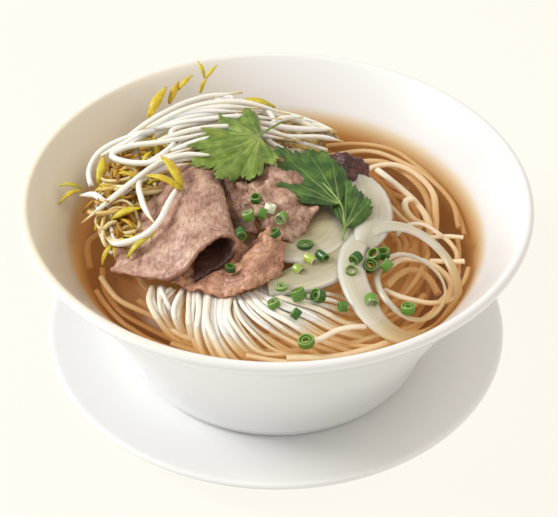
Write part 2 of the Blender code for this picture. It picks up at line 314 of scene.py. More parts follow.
def thickened(made, thickness):
    """Gives a sheet its thickness, half to each side, and applies it."""
    solidify = made.modifiers.new("thickness", "SOLIDIFY")
    solidify.thickness = thickness
    solidify.offset = 0
    mesh = bpy.data.meshes.new_from_object(made.evaluated_get(bpy.context.evaluated_depsgraph_get()))
    made.modifiers.clear()
    made.data = mesh
    mesh.name = made.name
    return made


def join_rows(bm, rows, closed):
    """Quads from each row of vertices to the next; closed rows are rings."""
    count = len(rows[0])
    for row, after in zip(rows, rows[1:]):
        for k in range(count if closed else count - 1):
            j = (k + 1) % count
            bm.faces.new((row[k], row[j], after[j], after[k]))


def write_uv(bm, layer, uv_of):
    for face in bm.faces:
        for loop in face.loops:
            loop[layer].uv = uv_of[loop.vert]


def turned(name, profile, finishes, steps=160, finish_of=None):
    """Spins a profile of (radius, height) about the upright axis; finish_of picks a face's finish."""
    bm = bmesh.new()
    corners = [bm.verts.new((r, 0, z)) for r, z in profile]
    edges = [bm.edges.new(pair) for pair in zip(corners, corners[1:])]
    about = {"cent": (0, 0, 0), "axis": (0, 0, 1), "angle": 2 * math.pi}
    bmesh.ops.spin(bm, geom=corners + edges, steps=steps, use_merge=True, **about)
    bmesh.ops.remove_doubles(bm, verts=bm.verts, dist=0.0005)
    bmesh.ops.recalc_face_normals(bm, faces=bm.faces)
    if finish_of:
        for face in bm.faces:
            face.material_index = finish_of(face)
    return object_from(bm, name, finishes)


# %% The bowl
# Points are (radius, height). The shoulder is where the rim's band ends, the body edge where the foot starts.
LIP = 2.2
LIP_CENTRE = (RIM - LIP, RIM_HEIGHT - LIP)
WALL_LEAN = math.radians(41)
FLOOR = BOWL_BASE + 8.0
FLOOR_REACH = 80.0
SHOULDER = (102.3, 78.5)
BODY_EDGE = (69.5, BOWL_BASE + 5.7)
BODY_STEPS = 26
FOOT = 67.0
# From the foot's outer corner to the middle of the underside: inward of FOOT, above BOWL_BASE.
FOOT_POINTS = [(0.5, 3.2), (0, 0.8), (0.7, 0), (5.3, 0), (6, 0.8), (7, 3.5), (8, 4), (FOOT, 4)]


def inner_wall(count):
    top = (LIP_CENTRE[0] - LIP * math.cos(WALL_LEAN), LIP_CENTRE[1] + LIP * math.sin(WALL_LEAN))
    below = (top[0] - 45 * math.sin(WALL_LEAN), top[1] - 45 * math.cos(WALL_LEAN))
    return bezier((0, FLOOR), (FLOOR_REACH, FLOOR), below, top, count)


def body_radius(height):
    t = (height - BODY_EDGE[1]) / (SHOULDER[1] - BODY_EDGE[1])
    return mix(BODY_EDGE[0], SHOULDER[0], max(0, t) ** 1.25)


def wall_radius(height):
    """The inside radius of the bowl at a height, in millimetres."""
    wall = inner_wall(60)
    for (r0, z0), (r1, z1) in zip(wall, wall[1:]):
        if z0 <= height <= z1 and z1 > z0:
            return mix(r0, r1, (height - z0) / (z1 - z0))
    return RIM


profile = inner_wall(64)
profile += arc(LIP_CENTRE, LIP, 125, -38, 12)
profile += bezier(
    (SHOULDER[0] + 4.6, 82.6), (SHOULDER[0] + 3.2, 80.4), (SHOULDER[0] + 1.4, 79.6), SHOULDER, 6
)
for i in range(1, BODY_STEPS + 1):
    height = mix(SHOULDER[1], BODY_EDGE[1], i / BODY_STEPS)
    profile.append((body_radius(height), height))
profile += arc((FOOT + 0.6, BODY_EDGE[1] - 0.2), 1.8, -20, -95, 4)
profile += [(FOOT - inward, BOWL_BASE + above) for inward, above in FOOT_POINTS]


def bowl_finish(face):
    centre = face.calc_center_median()
    radius = math.hypot(centre.x, centre.y)
    return 1 if radius < wall_radius(centre.z) + 0.5 and centre.z > FLOOR - 0.1 else 0


bowl = turned("porcelain_bowl", profile, [porcelain, inner_porcelain], 192, bowl_finish)
print("bowl faces:", len(bowl.data.polygons))

# %% The saucer
EDGE = 1.3
EDGE_CENTRE = (SAUCER - EDGE, SAUCER_HEIGHT - EDGE)
profile = [(0, 5.0)] + bezier((70.5, 5.0), (80, 5.2), (92, 11.5), (SAUCER - 1.8, SAUCER_HEIGHT - 0.1), 18)
profile += arc(EDGE_CENTRE, EDGE, 80, -70, 8)
profile += bezier((100, 12.5), (90, 7.6), (76, 1.8), (57, 1.8), 14)
profile += [(56.3, 0.6), (55.4, 0), (49.6, 0), (48.7, 0.6), (48, 1.8), (0, 1.8)]
saucer = turned("porcelain_saucer", profile, [porcelain], 192)

# %% [markdown]
# ## The broth
# The surface is one disc that reaches a hair into the wall and turns up against it in a small meniscus. Its
# finish is a thin amber film: almost clear at the wall, where the real layer is thin, a little cloudier
# towards the middle, and cloudiest on the left, beside the beef. The film shines like water.

# %% The broth's finish
CLEAR_EDGE, CLOUDY_EDGE = 90.0, 60.0  # distances from the bowl's axis
BESIDE_BEEF = (-1, -0.2, 0)  # the direction in which the broth is cloudier
broth_finish, tree, shader = new_material(
    "beef_broth_surface", IOR=1.34, Roughness=0.04, Specular_IOR_Level=0.6
)
place = object_place(tree)
flat_place = vector_math(tree, "MULTIPLY", place, (1, 1, 0), 0)
from_axis = vector_math(tree, "LENGTH", flat_place, None, "Value")
inward = spread(tree, from_axis, CLEAR_EDGE * MM, CLOUDY_EDGE * MM)
cloud = textured(tree, 34, 2)
clear = spread(tree, calculate(tree, "MULTIPLY", inward, cloud), 0.0, 0.6, 0.03, 0.15)
aside = vector_math(tree, "DOT_PRODUCT", place, BESIDE_BEEF, "Value")
stirred = spread(tree, aside, 26 * MM, 72 * MM, 0.0, 0.28)
film = calculate(tree, "ADD", clear, calculate(tree, "MULTIPLY", inward, stirred))
tree.links.new(film, shader.inputs["Alpha"])
film_colour = ramp(tree, cloud, [(0.3, "B07A42"), (0.7, "C49660")])
cover(tree, shader, film_colour, bump(tree, textured(tree, 16, 2), 0.25, 0.5))

# %% The broth's surface
MENISCUS_RISE, MENISCUS_REACH, MENISCUS_STEPS = 0.9, 3.0, 5
edge = wall_radius(LEVEL) + 0.35
profile = [(0, LEVEL)] + [(r, LEVEL) for r in range(6, int(edge) - 3, 4)]
for i in range(MENISCUS_STEPS + 1):
    share = i / MENISCUS_STEPS
    profile.append((edge - MENISCUS_REACH * (1 - share), LEVEL + MENISCUS_RISE * share**2))
broth = turned("broth_surface", profile, [broth_finish], 120)
print("broth radius:", round(edge, 1), "mm")

# %% [markdown]
# ## Strands
# Noodles, sprouts and stems are all the same kind of thing: a soft rod along a path. Each one starts as a
# line of edges in one mesh, with a thickness and a shade stored on its points. One Geometry Nodes tree turns
# the lines into curves, smooths and resamples them, sweeps an oval section along them and sets the finish.
# The distance along each rod is kept as an attribute, so that a finish can change from end to end.

# %% The sweeping tree
def new_tree(name, inputs):
    """A Geometry Nodes tree with geometry in and out and more named inputs; gives what it is given."""
    tree = bpy.data.node_groups.new(name, "GeometryNodeTree")
    for label, kind in [("Geometry", "Geometry")] + inputs:
        tree.interface.new_socket(label, in_out="INPUT", socket_type="NodeSocket" + kind)
    tree.interface.new_socket("Geometry", in_out="OUTPUT", socket_type="NodeSocketGeometry")
    return tree, add_node(tree, "NodeGroupInput").outputs


def end_tree(tree, geometry, finish):
    """Makes the geometry real, gives it its finish and sends it out."""
    real = add_node(tree, "GeometryNodeRealizeInstances", {"Geometry": geometry}).outputs[0]
    values = {"Geometry": real, "Material": finish}
    finished = add_node(tree, "GeometryNodeSetMaterial", values).outputs[0]
    add_node(tree, "NodeGroupOutput", {"Geometry": finished})
    return tree


def attribute(tree, name, kind):
    return add_node(tree, "GeometryNodeInputNamedAttribute", {"Name": name}, data_type=kind).outputs[0]


def sweeping_tree():
    """Sweeps an oval section of radius 'size' along each line of edges."""
    tree, given = new_tree(
        "sweep_strands",
        [("Step", "Float"), ("Sides", "Int"), ("Flatness", "Float"), ("Finish", "Material")],
    )
    lines = add_node(tree, "GeometryNodeMeshToCurve", {"Mesh": given["Geometry"]}).outputs[0]
    curves = add_node(
        tree, "GeometryNodeCurveSplineType", {"Curve": lines}, spline_type="CATMULL_ROM"
    ).outputs[0]
    resampling = {"Curve": curves, "Length": given["Step"]}
    even = add_node(tree, "GeometryNodeResampleCurve", resampling, mode="LENGTH").outputs[0]
    along = add_node(tree, "GeometryNodeSplineParameter").outputs["Factor"]
    marking = {"Geometry": even, "Name": "along", "Value": along}
    marked = add_node(
        tree, "GeometryNodeStoreNamedAttribute", marking, data_type="FLOAT", domain="POINT"
    ).outputs[0]
    outline = {"Resolution": given["Sides"], "Radius": 1.0}
    circle = add_node(tree, "GeometryNodeCurvePrimitiveCircle", outline).outputs["Curve"]
    squash = add_node(tree, "ShaderNodeCombineXYZ", {"X": 1.0, "Y": given["Flatness"], "Z": 1.0}).outputs[0]
    section = add_node(tree, "GeometryNodeTransform", {"Geometry": circle, "Scale": squash}).outputs[0]
    upright = add_node(tree, "GeometryNodeSetCurveNormal", {"Curve": marked}, mode="Z_UP").outputs[0]
    size = attribute(tree, "size", "FLOAT")
    sweep = {"Curve": upright, "Profile Curve": section, "Scale": size, "Fill Caps": True}
    rods = add_node(tree, "GeometryNodeCurveToMesh", sweep).outputs[0]
    softened = add_node(tree, "GeometryNodeSetShadeSmooth", {"Geometry": rods}).outputs[0]
    return end_tree(tree, softened, given["Finish"])


SWEEP = sweeping_tree()


def run_tree(source, tree, values):
    """Sets a tree's inputs by their identifiers and returns its result as a plain object."""
    modifier = source.modifiers.new("nodes", "NODES")
    modifier.node_group = tree
    for item in tree.interface.items_tree:
        if item.item_type == "SOCKET" and item.in_out == "INPUT" and item.name in values:
            modifier[item.identifier] = values[item.name]
    bpy.context.view_layer.update()
    evaluated = source.evaluated_get(bpy.context.evaluated_depsgraph_get())
    mesh = bpy.data.meshes.new_from_object(evaluated)
    mesh.name = name = source.name
    bpy.data.objects.remove(source)
    made = bpy.data.objects.new(name, mesh)
    bpy.context.scene.collection.objects.link(made)
    return made


def swept(name, paths, finish, step=2.0, sides=6, flatness=1.0):
    """Rods along paths. A path is (points, radius at each point, shade), in millimetres."""
    mesh = bpy.data.meshes.new(name)
    points, edges, sizes, shades = [], [], [], []
    for path, radii, shade in paths:
        first = len(points)
        points += [Vector(p) * MM for p in path]
        sizes += [r * MM for r in radii]
        shades += [shade] * len(path)
        edges += [(i, i + 1) for i in range(first, len(points) - 1)]
    mesh.from_pydata(points, edges, [])
    mesh.attributes.new("size", "FLOAT", "POINT").data.foreach_set("value", sizes)
    mesh.attributes.new("shade", "FLOAT", "POINT").data.foreach_set("value", shades)
    source = bpy.data.objects.new(name, mesh)
    bpy.context.scene.collection.objects.link(source)
    values = {"Step": step * MM, "Sides": sides, "Flatness": flatness, "Finish": finish}
    made = run_tree(source, SWEEP, values)
    print(name, "rods:", len(paths), "faces:", len(made.data.polygons))
    return made


# %% [markdown]
# ## Rice noodles
# Fresh rice noodles are made of steamed rice batter: white, smooth, a little translucent and wet. They lie
# in one slow swirl. Under the broth they fill the bowl in loose arcs round its middle, and in front of the
# beef a fan of them rises out of the broth, bends to the right and dives again. A lumpy core closes the view
# below.

# %% The noodle finish
rice_noodle, tree, shader = new_material(
    "steamed_rice_noodle",
    IOR=1.38,
    Roughness=0.28,
    Subsurface_Weight=0.4,
    Subsurface_Scale=2.0 * MM,
    Subsurface_Radius=(1.0, 0.92, 0.8),
)
whites = [(0.0, "EADBC0"), (0.25, "F6EEDD"), (0.6, "FCF8EE"), (1.0, "FFFDF8")]
cover(tree, shader, under_broth(tree, shader, ramp(tree, named_value(tree, "shade"), whites)))

# %% The noodles' lie
rng = random.Random(7)
NOODLE = 1.22  # half the width of a strand, mm
LOOP_NOODLE = 1.5  # the same for the loops, which lie flatter and look wider
LOOP_DROP = 2.1
SHELF, MOUND_HEIGHT = 56.0, 13.5
MOUND = (-8.0, -20.0)
MOUND_WIDTHS = (40, 32)


def mound(x, y):
    """The top of the core: a shelf deep in the broth and a mound under the beef."""
    away = ((x - MOUND[0]) / MOUND_WIDTHS[0]) ** 2 + ((y - MOUND[1]) / MOUND_WIDTHS[1]) ** 2
    return SHELF + MOUND_HEIGHT * math.exp(-away)


def refined(route, pieces=5):
    """The route with points added along its smooth curve."""
    corners = [Vector(p) for p in route]
    count = (len(corners) - 1) * pieces
    inside = [corners[0] * 2 - corners[1]] + corners + [corners[-1] * 2 - corners[-2]]
    points = []
    for i in range(count + 1):
        k = min(i // pieces, len(corners) - 2)
        t = (i - k * pieces) / pieces
        a, b, c, d = inside[k : k + 4]
        turn = 2 * a - 5 * b + 4 * c - d
        points.append(0.5 * (2 * b + (c - a) * t + turn * t * t + (3 * b - 3 * c + d - a) * t**3))
    return points


def kept_inside(point, gap=3.0):
    """The point, moved towards the axis if it would touch the bowl's wall."""
    limit = wall_radius(point.z) - gap
    away = math.hypot(point.x, point.y)
    if away > limit:
        return Vector((point.x * limit / away, point.y * limit / away, point.z))
    return Vector(point)


def noodle(points, width=NOODLE, sink=0.0, wander=2.6):
    """A strand that wanders a little and sinks by an even amount towards its end."""
    shift = Vector((rng.uniform(-50, 50), rng.uniform(-50, 50), 0))
    last = len(points) - 1
    path = []
    for k, point in enumerate(points):
        spot = Vector(point) * 0.055 + shift
        aside, ahead = noise.noise(spot), noise.noise(spot + Vector((9, 0, 0)))
        stray = Vector((aside, ahead, 0.5 * noise.noise(spot + Vector((0, 9, 0)))))
        path.append(kept_inside(Vector(point) + wander * stray - Vector((0, 0, sink * k / last))))
    size = width * rng.uniform(0.78, 1.16)
    radii = [size * (1 + 0.1 * noise.noise(p * 0.15)) for p in path]
    return path, radii, rng.random()


# %% Strands placed one by one
# The fan: each strand starts under the beef, runs out over the mound and sinks near the front wall.
FAN = [
    [(-52, -42, 74), (-52, -52, 73), (-49, -60, 71.5), (-43, -65, 69), (-37, -68, 67.5), (-28, -71, 66)],
    [(-48, -43, 75), (-47, -49, 74), (-44, -55, 72), (-40, -60, 69), (-34, -66, 67), (-26, -73, 65.5)],
    [(-44, -44, 75), (-48, -52, 73.5), (-46, -59, 71), (-39, -65, 68), (-32, -69, 67), (-22, -75, 65)],
    [(-36, -46, 75), (-36, -60, 73), (-35, -66, 70), (-31, -72, 67.5), (-26, -78, 66), (-18, -81, 65)],
    [(-32, -46, 75.5), (-32, -61, 72.8), (-32, -68, 70), (-28, -77, 67.5), (-20, -82, 66.5)],
    [(-28, -48, 76), (-28, -64, 74), (-25, -73, 71.5), (-19, -80, 69.2), (-9, -84, 67)],
    [(-25, -48, 75), (-25, -63, 73), (-22, -73, 70), (-14, -79, 67), (-4, -82, 65.5)],
    [(-22, -49, 75.5), (-22, -62, 73.8), (-19, -70, 71), (-12, -76, 68), (-2, -80, 66)],
    [(-19, -50, 76), (-19, -63, 75), (-14, -72, 73), (-6, -77, 71), (6, -77, 69.6), (16, -74, 68)],
    [(-16, -49, 75.5), (-12, -59, 74.2), (-6, -65, 72.4), (4, -69, 70.6), (14, -74, 69), (24, -76, 67)],
    [(-12, -48, 76), (-4, -59, 74.4), (6, -65, 72.6), (14, -68, 71), (26, -72, 69), (36, -72, 67)],
    [(-9, -47, 76), (1, -57, 74.8), (10, -60, 73), (22, -64, 71), (34, -66, 69.4), (44, -65, 67)],
    [(-6, -45, 75.5), (6, -54, 74.2), (18, -57, 72.4), (28, -60, 71), (38, -61, 69.8), (50, -58, 68)],
    [(-4, -44, 75), (10, -49, 73.8), (22, -50, 72), (31, -50, 70.6), (40, -50, 69)],
    [(-8, -43, 75), (4, -47, 74.2), (15, -42, 73.6), (24, -33, 73), (31, -22, 72)],
]
# Loops that show through the broth at the right and at the back.
LOOPS = [
    [(40, 28, 69), (40, 38, 69.2), (45, 47, 69), (54, 49, 68.8),
     (63, 44, 68.4), (70, 33, 67.8), (72, 20, 67), (71, 4, 66)],
    [(46, 43, 69.4), (57, 30, 69), (64, 20, 68.5), (68, 9, 67.5), (68, -4, 66)],
    [(41, 40, 68), (46, 26, 68.8), (52, 16, 68.4), (57, 10, 67.4), (66, 6, 66)],
    [(61, 21, 70.6), (58, 20, 70.2), (58, 15, 69), (62, 9, 67.5), (70, 8, 66)],
    [(53, -5, 70), (58, 2, 70.2), (66, 3, 69.8), (72, -2, 69.2),
     (76, -8, 68.4), (78, -16, 67.4), (75, -26, 66)],
    [(66, -4, 67.5), (75, -4, 69), (82, -5, 69.6)],
    [(66, -19, 67.5), (75, -20, 68.6), (81, -20, 69.4)],
    [(49, -25, 69.2), (54, -20, 68.8), (62, -19, 68.2), (70, -24, 67.4), (74, -33, 66.8), (71, -44, 66)],
    [(45, -41, 69.4), (50, -44, 69.2), (57, -45, 68.6), (66, -45, 68), (76, -41, 67)],
    [(47, -36, 66.4), (52, -27, 66.2), (58, -23, 65.6), (65, -27, 65), (68, -36, 64.4)],
    [(24, 58, 67), (38, 62, 67), (50, 60, 67), (61, 52, 66.6), (73, 40, 66), (80, 26, 65.6), (82, 8, 65)],
    [(20, 66, 66), (38, 69, 66), (54, 64, 66), (67, 54, 65.6), (77, 41, 65), (83, 24, 64.6), (84, 4, 64)],
    [(30, 52, 66), (42, 55, 66.4), (52, 54, 66), (62, 44, 65.4), (68, 30, 65), (70, 12, 64)],
    [(13, -75, 70.6), (18, -72, 71.4), (23, -68, 71.8), (28, -66, 72), (36, -64, 71)],
    [(4, -80, 67.6), (18, -79, 67.6), (30, -76, 67.6), (42, -71, 67.4), (54, -63, 66.6)],
    [(-12, -77, 66.6), (2, -81, 67), (16, -80, 67), (32, -75, 66.4)],
    [(-74, -32, 67), (-67, -44, 67.2), (-57, -51, 67), (-50, -55, 66.4), (-42, -61, 65), (-34, -66, 63)],
    [(-78, -36, 63.6), (-69, -50, 63.8), (-57, -60, 63.6), (-45, -68, 63.2), (-30, -75, 62.6)],
    [(-76, -20, 61.5), (-72, -36, 62), (-62, -50, 62), (-48, -60, 61.6), (-36, -66, 61)],
]


def tucked(route):
    """The route with its start pushed down, under the beef."""
    drops = [4.5, 1.2, 0.8] + [3.0] * (len(route) - 4) + [4.6]
    return refined([Vector(p) - Vector((0, 0, drop)) for p, drop in zip(route, drops)])


def point_along(points, share):
    place = share * (len(points) - 1)
    k = min(int(place), len(points) - 2)
    return points[k].lerp(points[k + 1], place - k)


strands = [noodle(tucked(route), NOODLE, 3.0, 0.9) for route in FAN]
for route in LOOPS:
    lowered = [point - Vector((0, 0, LOOP_DROP)) for point in refined(route)]
    strands.append(noodle(lowered, LOOP_NOODLE, 1.2, 1.4))

# %% Strands between the fan's own
# Each lies at a share of the way from one strand to the next, and lower by so many millimetres.
BETWEEN = [(0.22, 1.2), (0.5, 0.4), (0.76, 1.9), (0.35, 3.4), (0.66, 3.0)]
STEPS = 25
for first, second in zip(FAN, FAN[1:]):
    a, b = tucked(first), tucked(second)
    for share, drop in BETWEEN:
        lean, phase = rng.uniform(-1.0, 1.0), rng.uniform(0, 6)
        points = []
        for k in range(STEPS + 1):
            t = k / STEPS
            mixed = share + 0.45 * math.sin(2.2 * t + phase) * t * t
            points.append(point_along(a, t).lerp(point_along(b, t), mixed) + Vector((lean, 0, -drop)))
        strands.append(noodle(points, NOODLE * rng.uniform(0.75, 1.05), 3.2, 0.9))


# %% Loose strands deeper down
def swirl_strand(radius, start, sweep, height):
    """A strand on a slow arc that drifts and waves as it goes round the bowl."""
    points = []
    centre = Vector((rng.uniform(-8, 10), rng.uniform(-10, 8), 0))
    drift, wave = rng.uniform(-12, 12), rng.uniform(0, 6)
    count = max(5, int(abs(sweep) * radius / 8))
    for i in range(count + 1):
        t = i / count
        angle = start + sweep * t
        away = radius + drift * t + 3.5 * math.sin(5.5 * t + wave)
        z = height + 1.4 * math.sin(6 * t + wave)
        points.append(centre + Vector((away * math.cos(angle), away * math.sin(angle), z)))
    return noodle(points)


LAYERS = [(62.6, 6), (61.0, 12), (59.4, 22), (57.6, 28), (56.0, 22)]  # height and number of strands
for height, number in LAYERS:
    for _ in range(number):
        radius, start = rng.uniform(30, 74), rng.uniform(-3.1, 3.1)
        strands.append(swirl_strand(radius, start, rng.uniform(0.7, 1.9), height + rng.uniform(-1, 1)))
noodles = swept("rice_noodles", strands, rice_noodle, 2.4, 8, 0.7)

# %% The noodles' core
CORE_REACH, CORE_BASE = 72, 32
CORE_AROUND, CORE_RINGS = 72, 18


def noodle_core():
    """A closed lump from the shelf and the mound down to a flat base, with low ridges on top."""
    bm = bmesh.new()
    rows = []
    for k in range(CORE_RINGS + 1):
        share = 1 - 0.96 * k / CORE_RINGS
        radius = CORE_REACH * share
        row = []
        for i in range(CORE_AROUND):
            angle = 2 * math.pi * i / CORE_AROUND
            x, y = radius * math.cos(angle), radius * math.sin(angle)
            ridge = math.sin(radius * 0.9 + 3 * angle) + 0.5 * noise.noise((x * 0.2, y * 0.2, 0))
            edge_drop = 6 * smooth(share * 8 - 7)
            row.append(bm.verts.new((x, y, mound(x, y) + 0.6 * ridge - edge_drop)))
        rows.append(row)
    base = [bm.verts.new((v.co.x * 0.7, v.co.y * 0.7, CORE_BASE)) for v in rows[0]]
    join_rows(bm, [base] + rows, True)
    bm.faces.new(rows[-1])
    bm.faces.new(base)
    bmesh.ops.recalc_face_normals(bm, faces=bm.faces)
    return object_from(bm, "noodle_core", [rice_noodle], 80)


core = noodle_core()

# %% [markdown]
# ## Sliced beef
# The beef is raw topside sliced 2 mm thin on a machine and cooked by the hot broth in seconds: the faces go
# pinkish brown with a wet grain of fibres, and the thin edges shrink, frill and stay pinker. Each slice is a
# smooth sheet over a small net of given points, which is how a soft folded sheet is easiest to pose.
# Noise then wrinkles it, ruffles grow towards its edges, and Solidify gives it its thickness. The fibres run
# along the slice's own UV map, and the inside of the large slice's fold is darkened with painted shade.

# %% Smooth sheets over a net
def spline_weights(t):
    return (
        (1 - t) ** 3 / 6,
        (3 * t**3 - 6 * t * t + 4) / 6,
        (-3 * t**3 + 3 * t * t + 3 * t + 1) / 6,
        t**3 / 6,
    )


def along_points(points, t):
    """A point on the smooth curve that follows the points, for t from 0 to 1."""
    first = points[0] * 2 - points[1]
    last = points[-1] * 2 - points[-2]
    row = [first] + points + [last]
    spans = len(points) - 1
    k = min(int(t * spans), spans - 1)
    weights = spline_weights(t * spans - k)
    return sum((row[k + i] * weights[i] for i in range(4)), Vector((0, 0, 0)))


def edge_share(u, v, reach):
    """1 at the edge of a sheet, falling to 0 at a share of the way in."""
    return 1 - smooth(min(u, 1 - u, v, 1 - v) / reach)


def net_sheet(name, net, finish, across, along, thickness, ruffle, seed, wrinkle=0.45, fold_at=2.0):
    """A sheet over a net of points: rows from back to front, columns from left to right.

    Past fold_at, a share of the way across, the finish is darkened with painted shade, as inside a fold."""
    rows = [[Vector(p) for p in row] for row in net]
    bm = bmesh.new()
    layer = bm.loops.layers.uv.new("sheet")
    rim = bm.verts.layers.float.new("rim")
    # The 'inside' layer holds how much painted shade a point gets, inside the fold.
    inside = bm.verts.layers.float.new("inside")
    uv_of = {}
    grid = []
    for j in range(along + 1):
        v = j / along
        line = []
        for i in range(across + 1):
            u = i / across
            ragged = 0.6 + noise.noise((u * 8 + seed, v * 8, 0))
            ragged += 0.5 * noise.noise((u * 22, v * 22 + seed, 0))
            pull = 0.05 * edge_share(u, v, 0.12) * ragged
            column = [along_points(row, mix(u, 0.5, pull)) for row in rows]
            line.append(bm.verts.new(along_points(column, mix(v, 0.5, pull))))
            uv_of[line[-1]] = (u, v)
        grid.append(line)
    join_rows(bm, grid, False)
    bm.normal_update()
    shift = Vector((seed * 13.7, seed * 5.1, 0))
    moves = []
    for vert, (u, v) in uv_of.items():
        spot = vert.co + shift
        fold = 1.6 * noise.noise(spot * 0.1) + 1.1 * noise.noise(spot * 0.24)
        fold += 0.5 * abs(noise.noise(spot * 0.5))
        frill = 1.3 * noise.noise(spot * 0.2) + 0.9 * noise.noise(spot * 0.45)
        pits = 0.22 * noise.noise(spot * 0.7) + 0.16 * noise.noise(spot * 1.3)
        moves.append(vert.normal * (wrinkle * fold + ruffle * edge_share(u, v, 0.15) * frill + pits))
    for (vert, (u, v)), move in zip(uv_of.items(), moves):
        vert.co += move
        vert[rim] = edge_share(u, v, 0.04)
        # painted shade inside the fold, past fold_at
        vert[inside] = 0.92 * smooth((u - fold_at) / 0.06)
    write_uv(bm, layer, uv_of)
    return thickened(object_from(bm, name, [finish], 180), thickness * MM)


# %% The beef finish
FIBRES = [(0.34, "A5826F"), (0.52, "FFFFFF")]
PITS = [(0.36, "5E3E34"), (0.46, "FFFFFF")]
FAT = "E0BFA8"
# The colour of the painted shade inside the large slice's fold.
PAINTED_FOLD_SHADE = "361A14"


def beef_finish(name, dark, middle, light, cut):
    finish, tree, shader = new_material(
        name,
        IOR=1.4,
        Roughness=0.42,
        Subsurface_Weight=0.15,
        Subsurface_Scale=1.5 * MM,
        Subsurface_Radius=(1.0, 0.4, 0.25),
        Coat_Weight=0.32,
        Coat_Roughness=0.26,
    )
    meat = ramp(tree, textured(tree, 7, 6), [(0.34, dark), (0.5, middle), (0.68, light)])
    grain = sheet_noise(tree, (70, 16, 1), 1.0, 4.0, 0.65)
    meat = blend_colours(tree, 0.7, meat, ramp(tree, grain, FIBRES), "MULTIPLY")
    pits = ramp(tree, textured(tree, 0.75, 2, roughness=0.7), PITS)
    meat = blend_colours(tree, 0.2, meat, pits, "MULTIPLY")
    streaks = ramp(tree, textured(tree, 5.0, 3, (1, 1, 3)), [(0.56, "000000"), (0.66, "5A5A5A")])
    meat = blend_colours(tree, streaks, meat, linear(FAT))
    edge = calculate(tree, "MULTIPLY", named_value(tree, "rim"), 0.5)
    meat = blend_colours(tree, edge, meat, linear(cut))
    # painted shade inside the fold
    meat = blend_colours(tree, named_value(tree, "inside"), meat, linear(PAINTED_FOLD_SHADE))
    coarse = bump(tree, textured(tree, 2.8, 5), 0.9, 1.0)
    cover(tree, shader, under_broth(tree, shader, meat), bump(tree, grain, 0.35, 0.9, coarse))
    return finish


cooked_beef = beef_finish("cooked_beef_slice", "9E7564", "C29A84", "DEBDA7", "B27C68")
# A darker copy of the cooked beef for the narrow slice: its dark colour is painted shade between the slices.
painted_shade_beef = beef_finish("beef_slice_inside_fold", "6E4C38", "96705A", "B8947A", "8E5C46")
front_beef = beef_finish("beef_slice_with_fat_edge", "A87660", "C69276", "E2B494", "DCA07A")
rare_beef = beef_finish("rare_beef_slice", "2E0E0A", "4E1C14", "80443A", "B88070")

# %% The slices
LARGE = [
    [(-47, 27, 80), (-42, 24, 84), (-38, 22, 87), (-31, 19, 89), (-25, 18, 85), (-29, 22, 80), (-36, 24, 78)],
    [(-57, 0, 79.5), (-48, -3, 83.5), (-39, -5, 87.5), (-30, -5, 90),
     (-21, -3, 86), (-27, 1, 80), (-35, 2, 78)],
    [(-65, -20, 76), (-53, -26, 80.5), (-40, -28, 85.5), (-29, -26, 90.5),
     (-16, -20, 86), (-24, -17, 79), (-35, -19, 77)],
    [(-71, -35, 72), (-57, -45, 75), (-39, -50, 78), (-27, -31, 89),
     (-13, -29, 86), (-20, -39, 77), (-35, -48, 75)],
]
NARROW = [
    [(-26, 16, 82), (-20, 14, 85.5), (-13, 10, 86)],
    [(-24, 6, 81), (-19, 2, 84.5), (-13, -1, 84)],
    [(-21, -5, 80), (-15, -7, 83), (-9, -13, 83.5)],
    [(-18, -20, 77), (-13, -18, 79), (-8, -20, 79)],
]
BACK = [
    [(-19, 14, 83), (-9, 23, 87), (1, 23, 88), (10, 20, 85)],
    [(-17, 5, 84.5), (-7, 6, 89), (5, 6, 89.5), (15, 9, 83)],
    [(-15, -3, 83.5), (-5, -4, 87), (6, -6, 88), (17, -3, 81)],
    [(-11, -8, 81.5), (-2, -12, 84), (7, -17, 84), (13, -16, 79)],
    [(-8, -13, 78), (-1, -20, 80), (4, -25, 79), (7, -22, 76)],
]
FRONT = [
    [(-17, -20, 79), (-12, -24, 73), (-8, -22, 76), (-3, -18, 89.5), (0, -20, 82)],
    [(-30, -31, 76), (-19, -34, 74), (-11, -31, 75), (-4, -28, 89), (2, -27, 79)],
    [(-42, -39, 74), (-27, -44, 75.5), (-15, -46, 78), (-8, -41, 86), (2, -36, 77)],
    [(-45, -43, 73), (-30, -51, 74), (-17, -54, 76), (-8, -52, 78), (2, -41, 75.5)],
]
RIGHT = [
    [(23, 39, 78), (28, 36, 83), (33, 34, 83), (39, 36, 78)],
    [(25, 32, 77), (29, 26, 80), (34, 26, 80), (42, 30, 77)],
    [(27, 21, 75), (31, 18, 79), (35, 17, 78), (42, 21, 74.5)],
]
beef = [
    (net_sheet("beef_large", LARGE, cooked_beef, 130, 96, 2.0, 0.55, 1, 0.4, 0.72), "beef_slice_large"),
    # The narrow slice is a dark sheet of painted shade that fills the gap under the other slices.
    (net_sheet("beef_narrow", NARROW, painted_shade_beef, 46, 90, 1.9, 1.3, 2, 0.9), "beef_slice_narrow"),
    (net_sheet("beef_back", BACK, cooked_beef, 100, 116, 1.6, 3.0, 3, 1.8), "beef_slice_back"),
    (net_sheet("beef_front", FRONT, front_beef, 110, 96, 1.9, 1.9, 4, 1.4), "beef_slice_front"),
    (net_sheet("beef_right", RIGHT, rare_beef, 60, 60, 1.6, 1.4, 5, 0.8), "beef_slice_right"),
]
for piece, _ in beef:
    print(piece.name, "faces:", len(piece.data.polygons))

# %% [markdown]
# ## Onion
# Raw onion cut in thin half rings and rings: each layer is a wet, translucent band with fine lines that run
# round it. Bands are sheets over a rule, a crescent or an oval ring, thick in the middle and thin at both
# edges. Their finish scatters light inside and takes the stain of the broth where a ring dives under it.

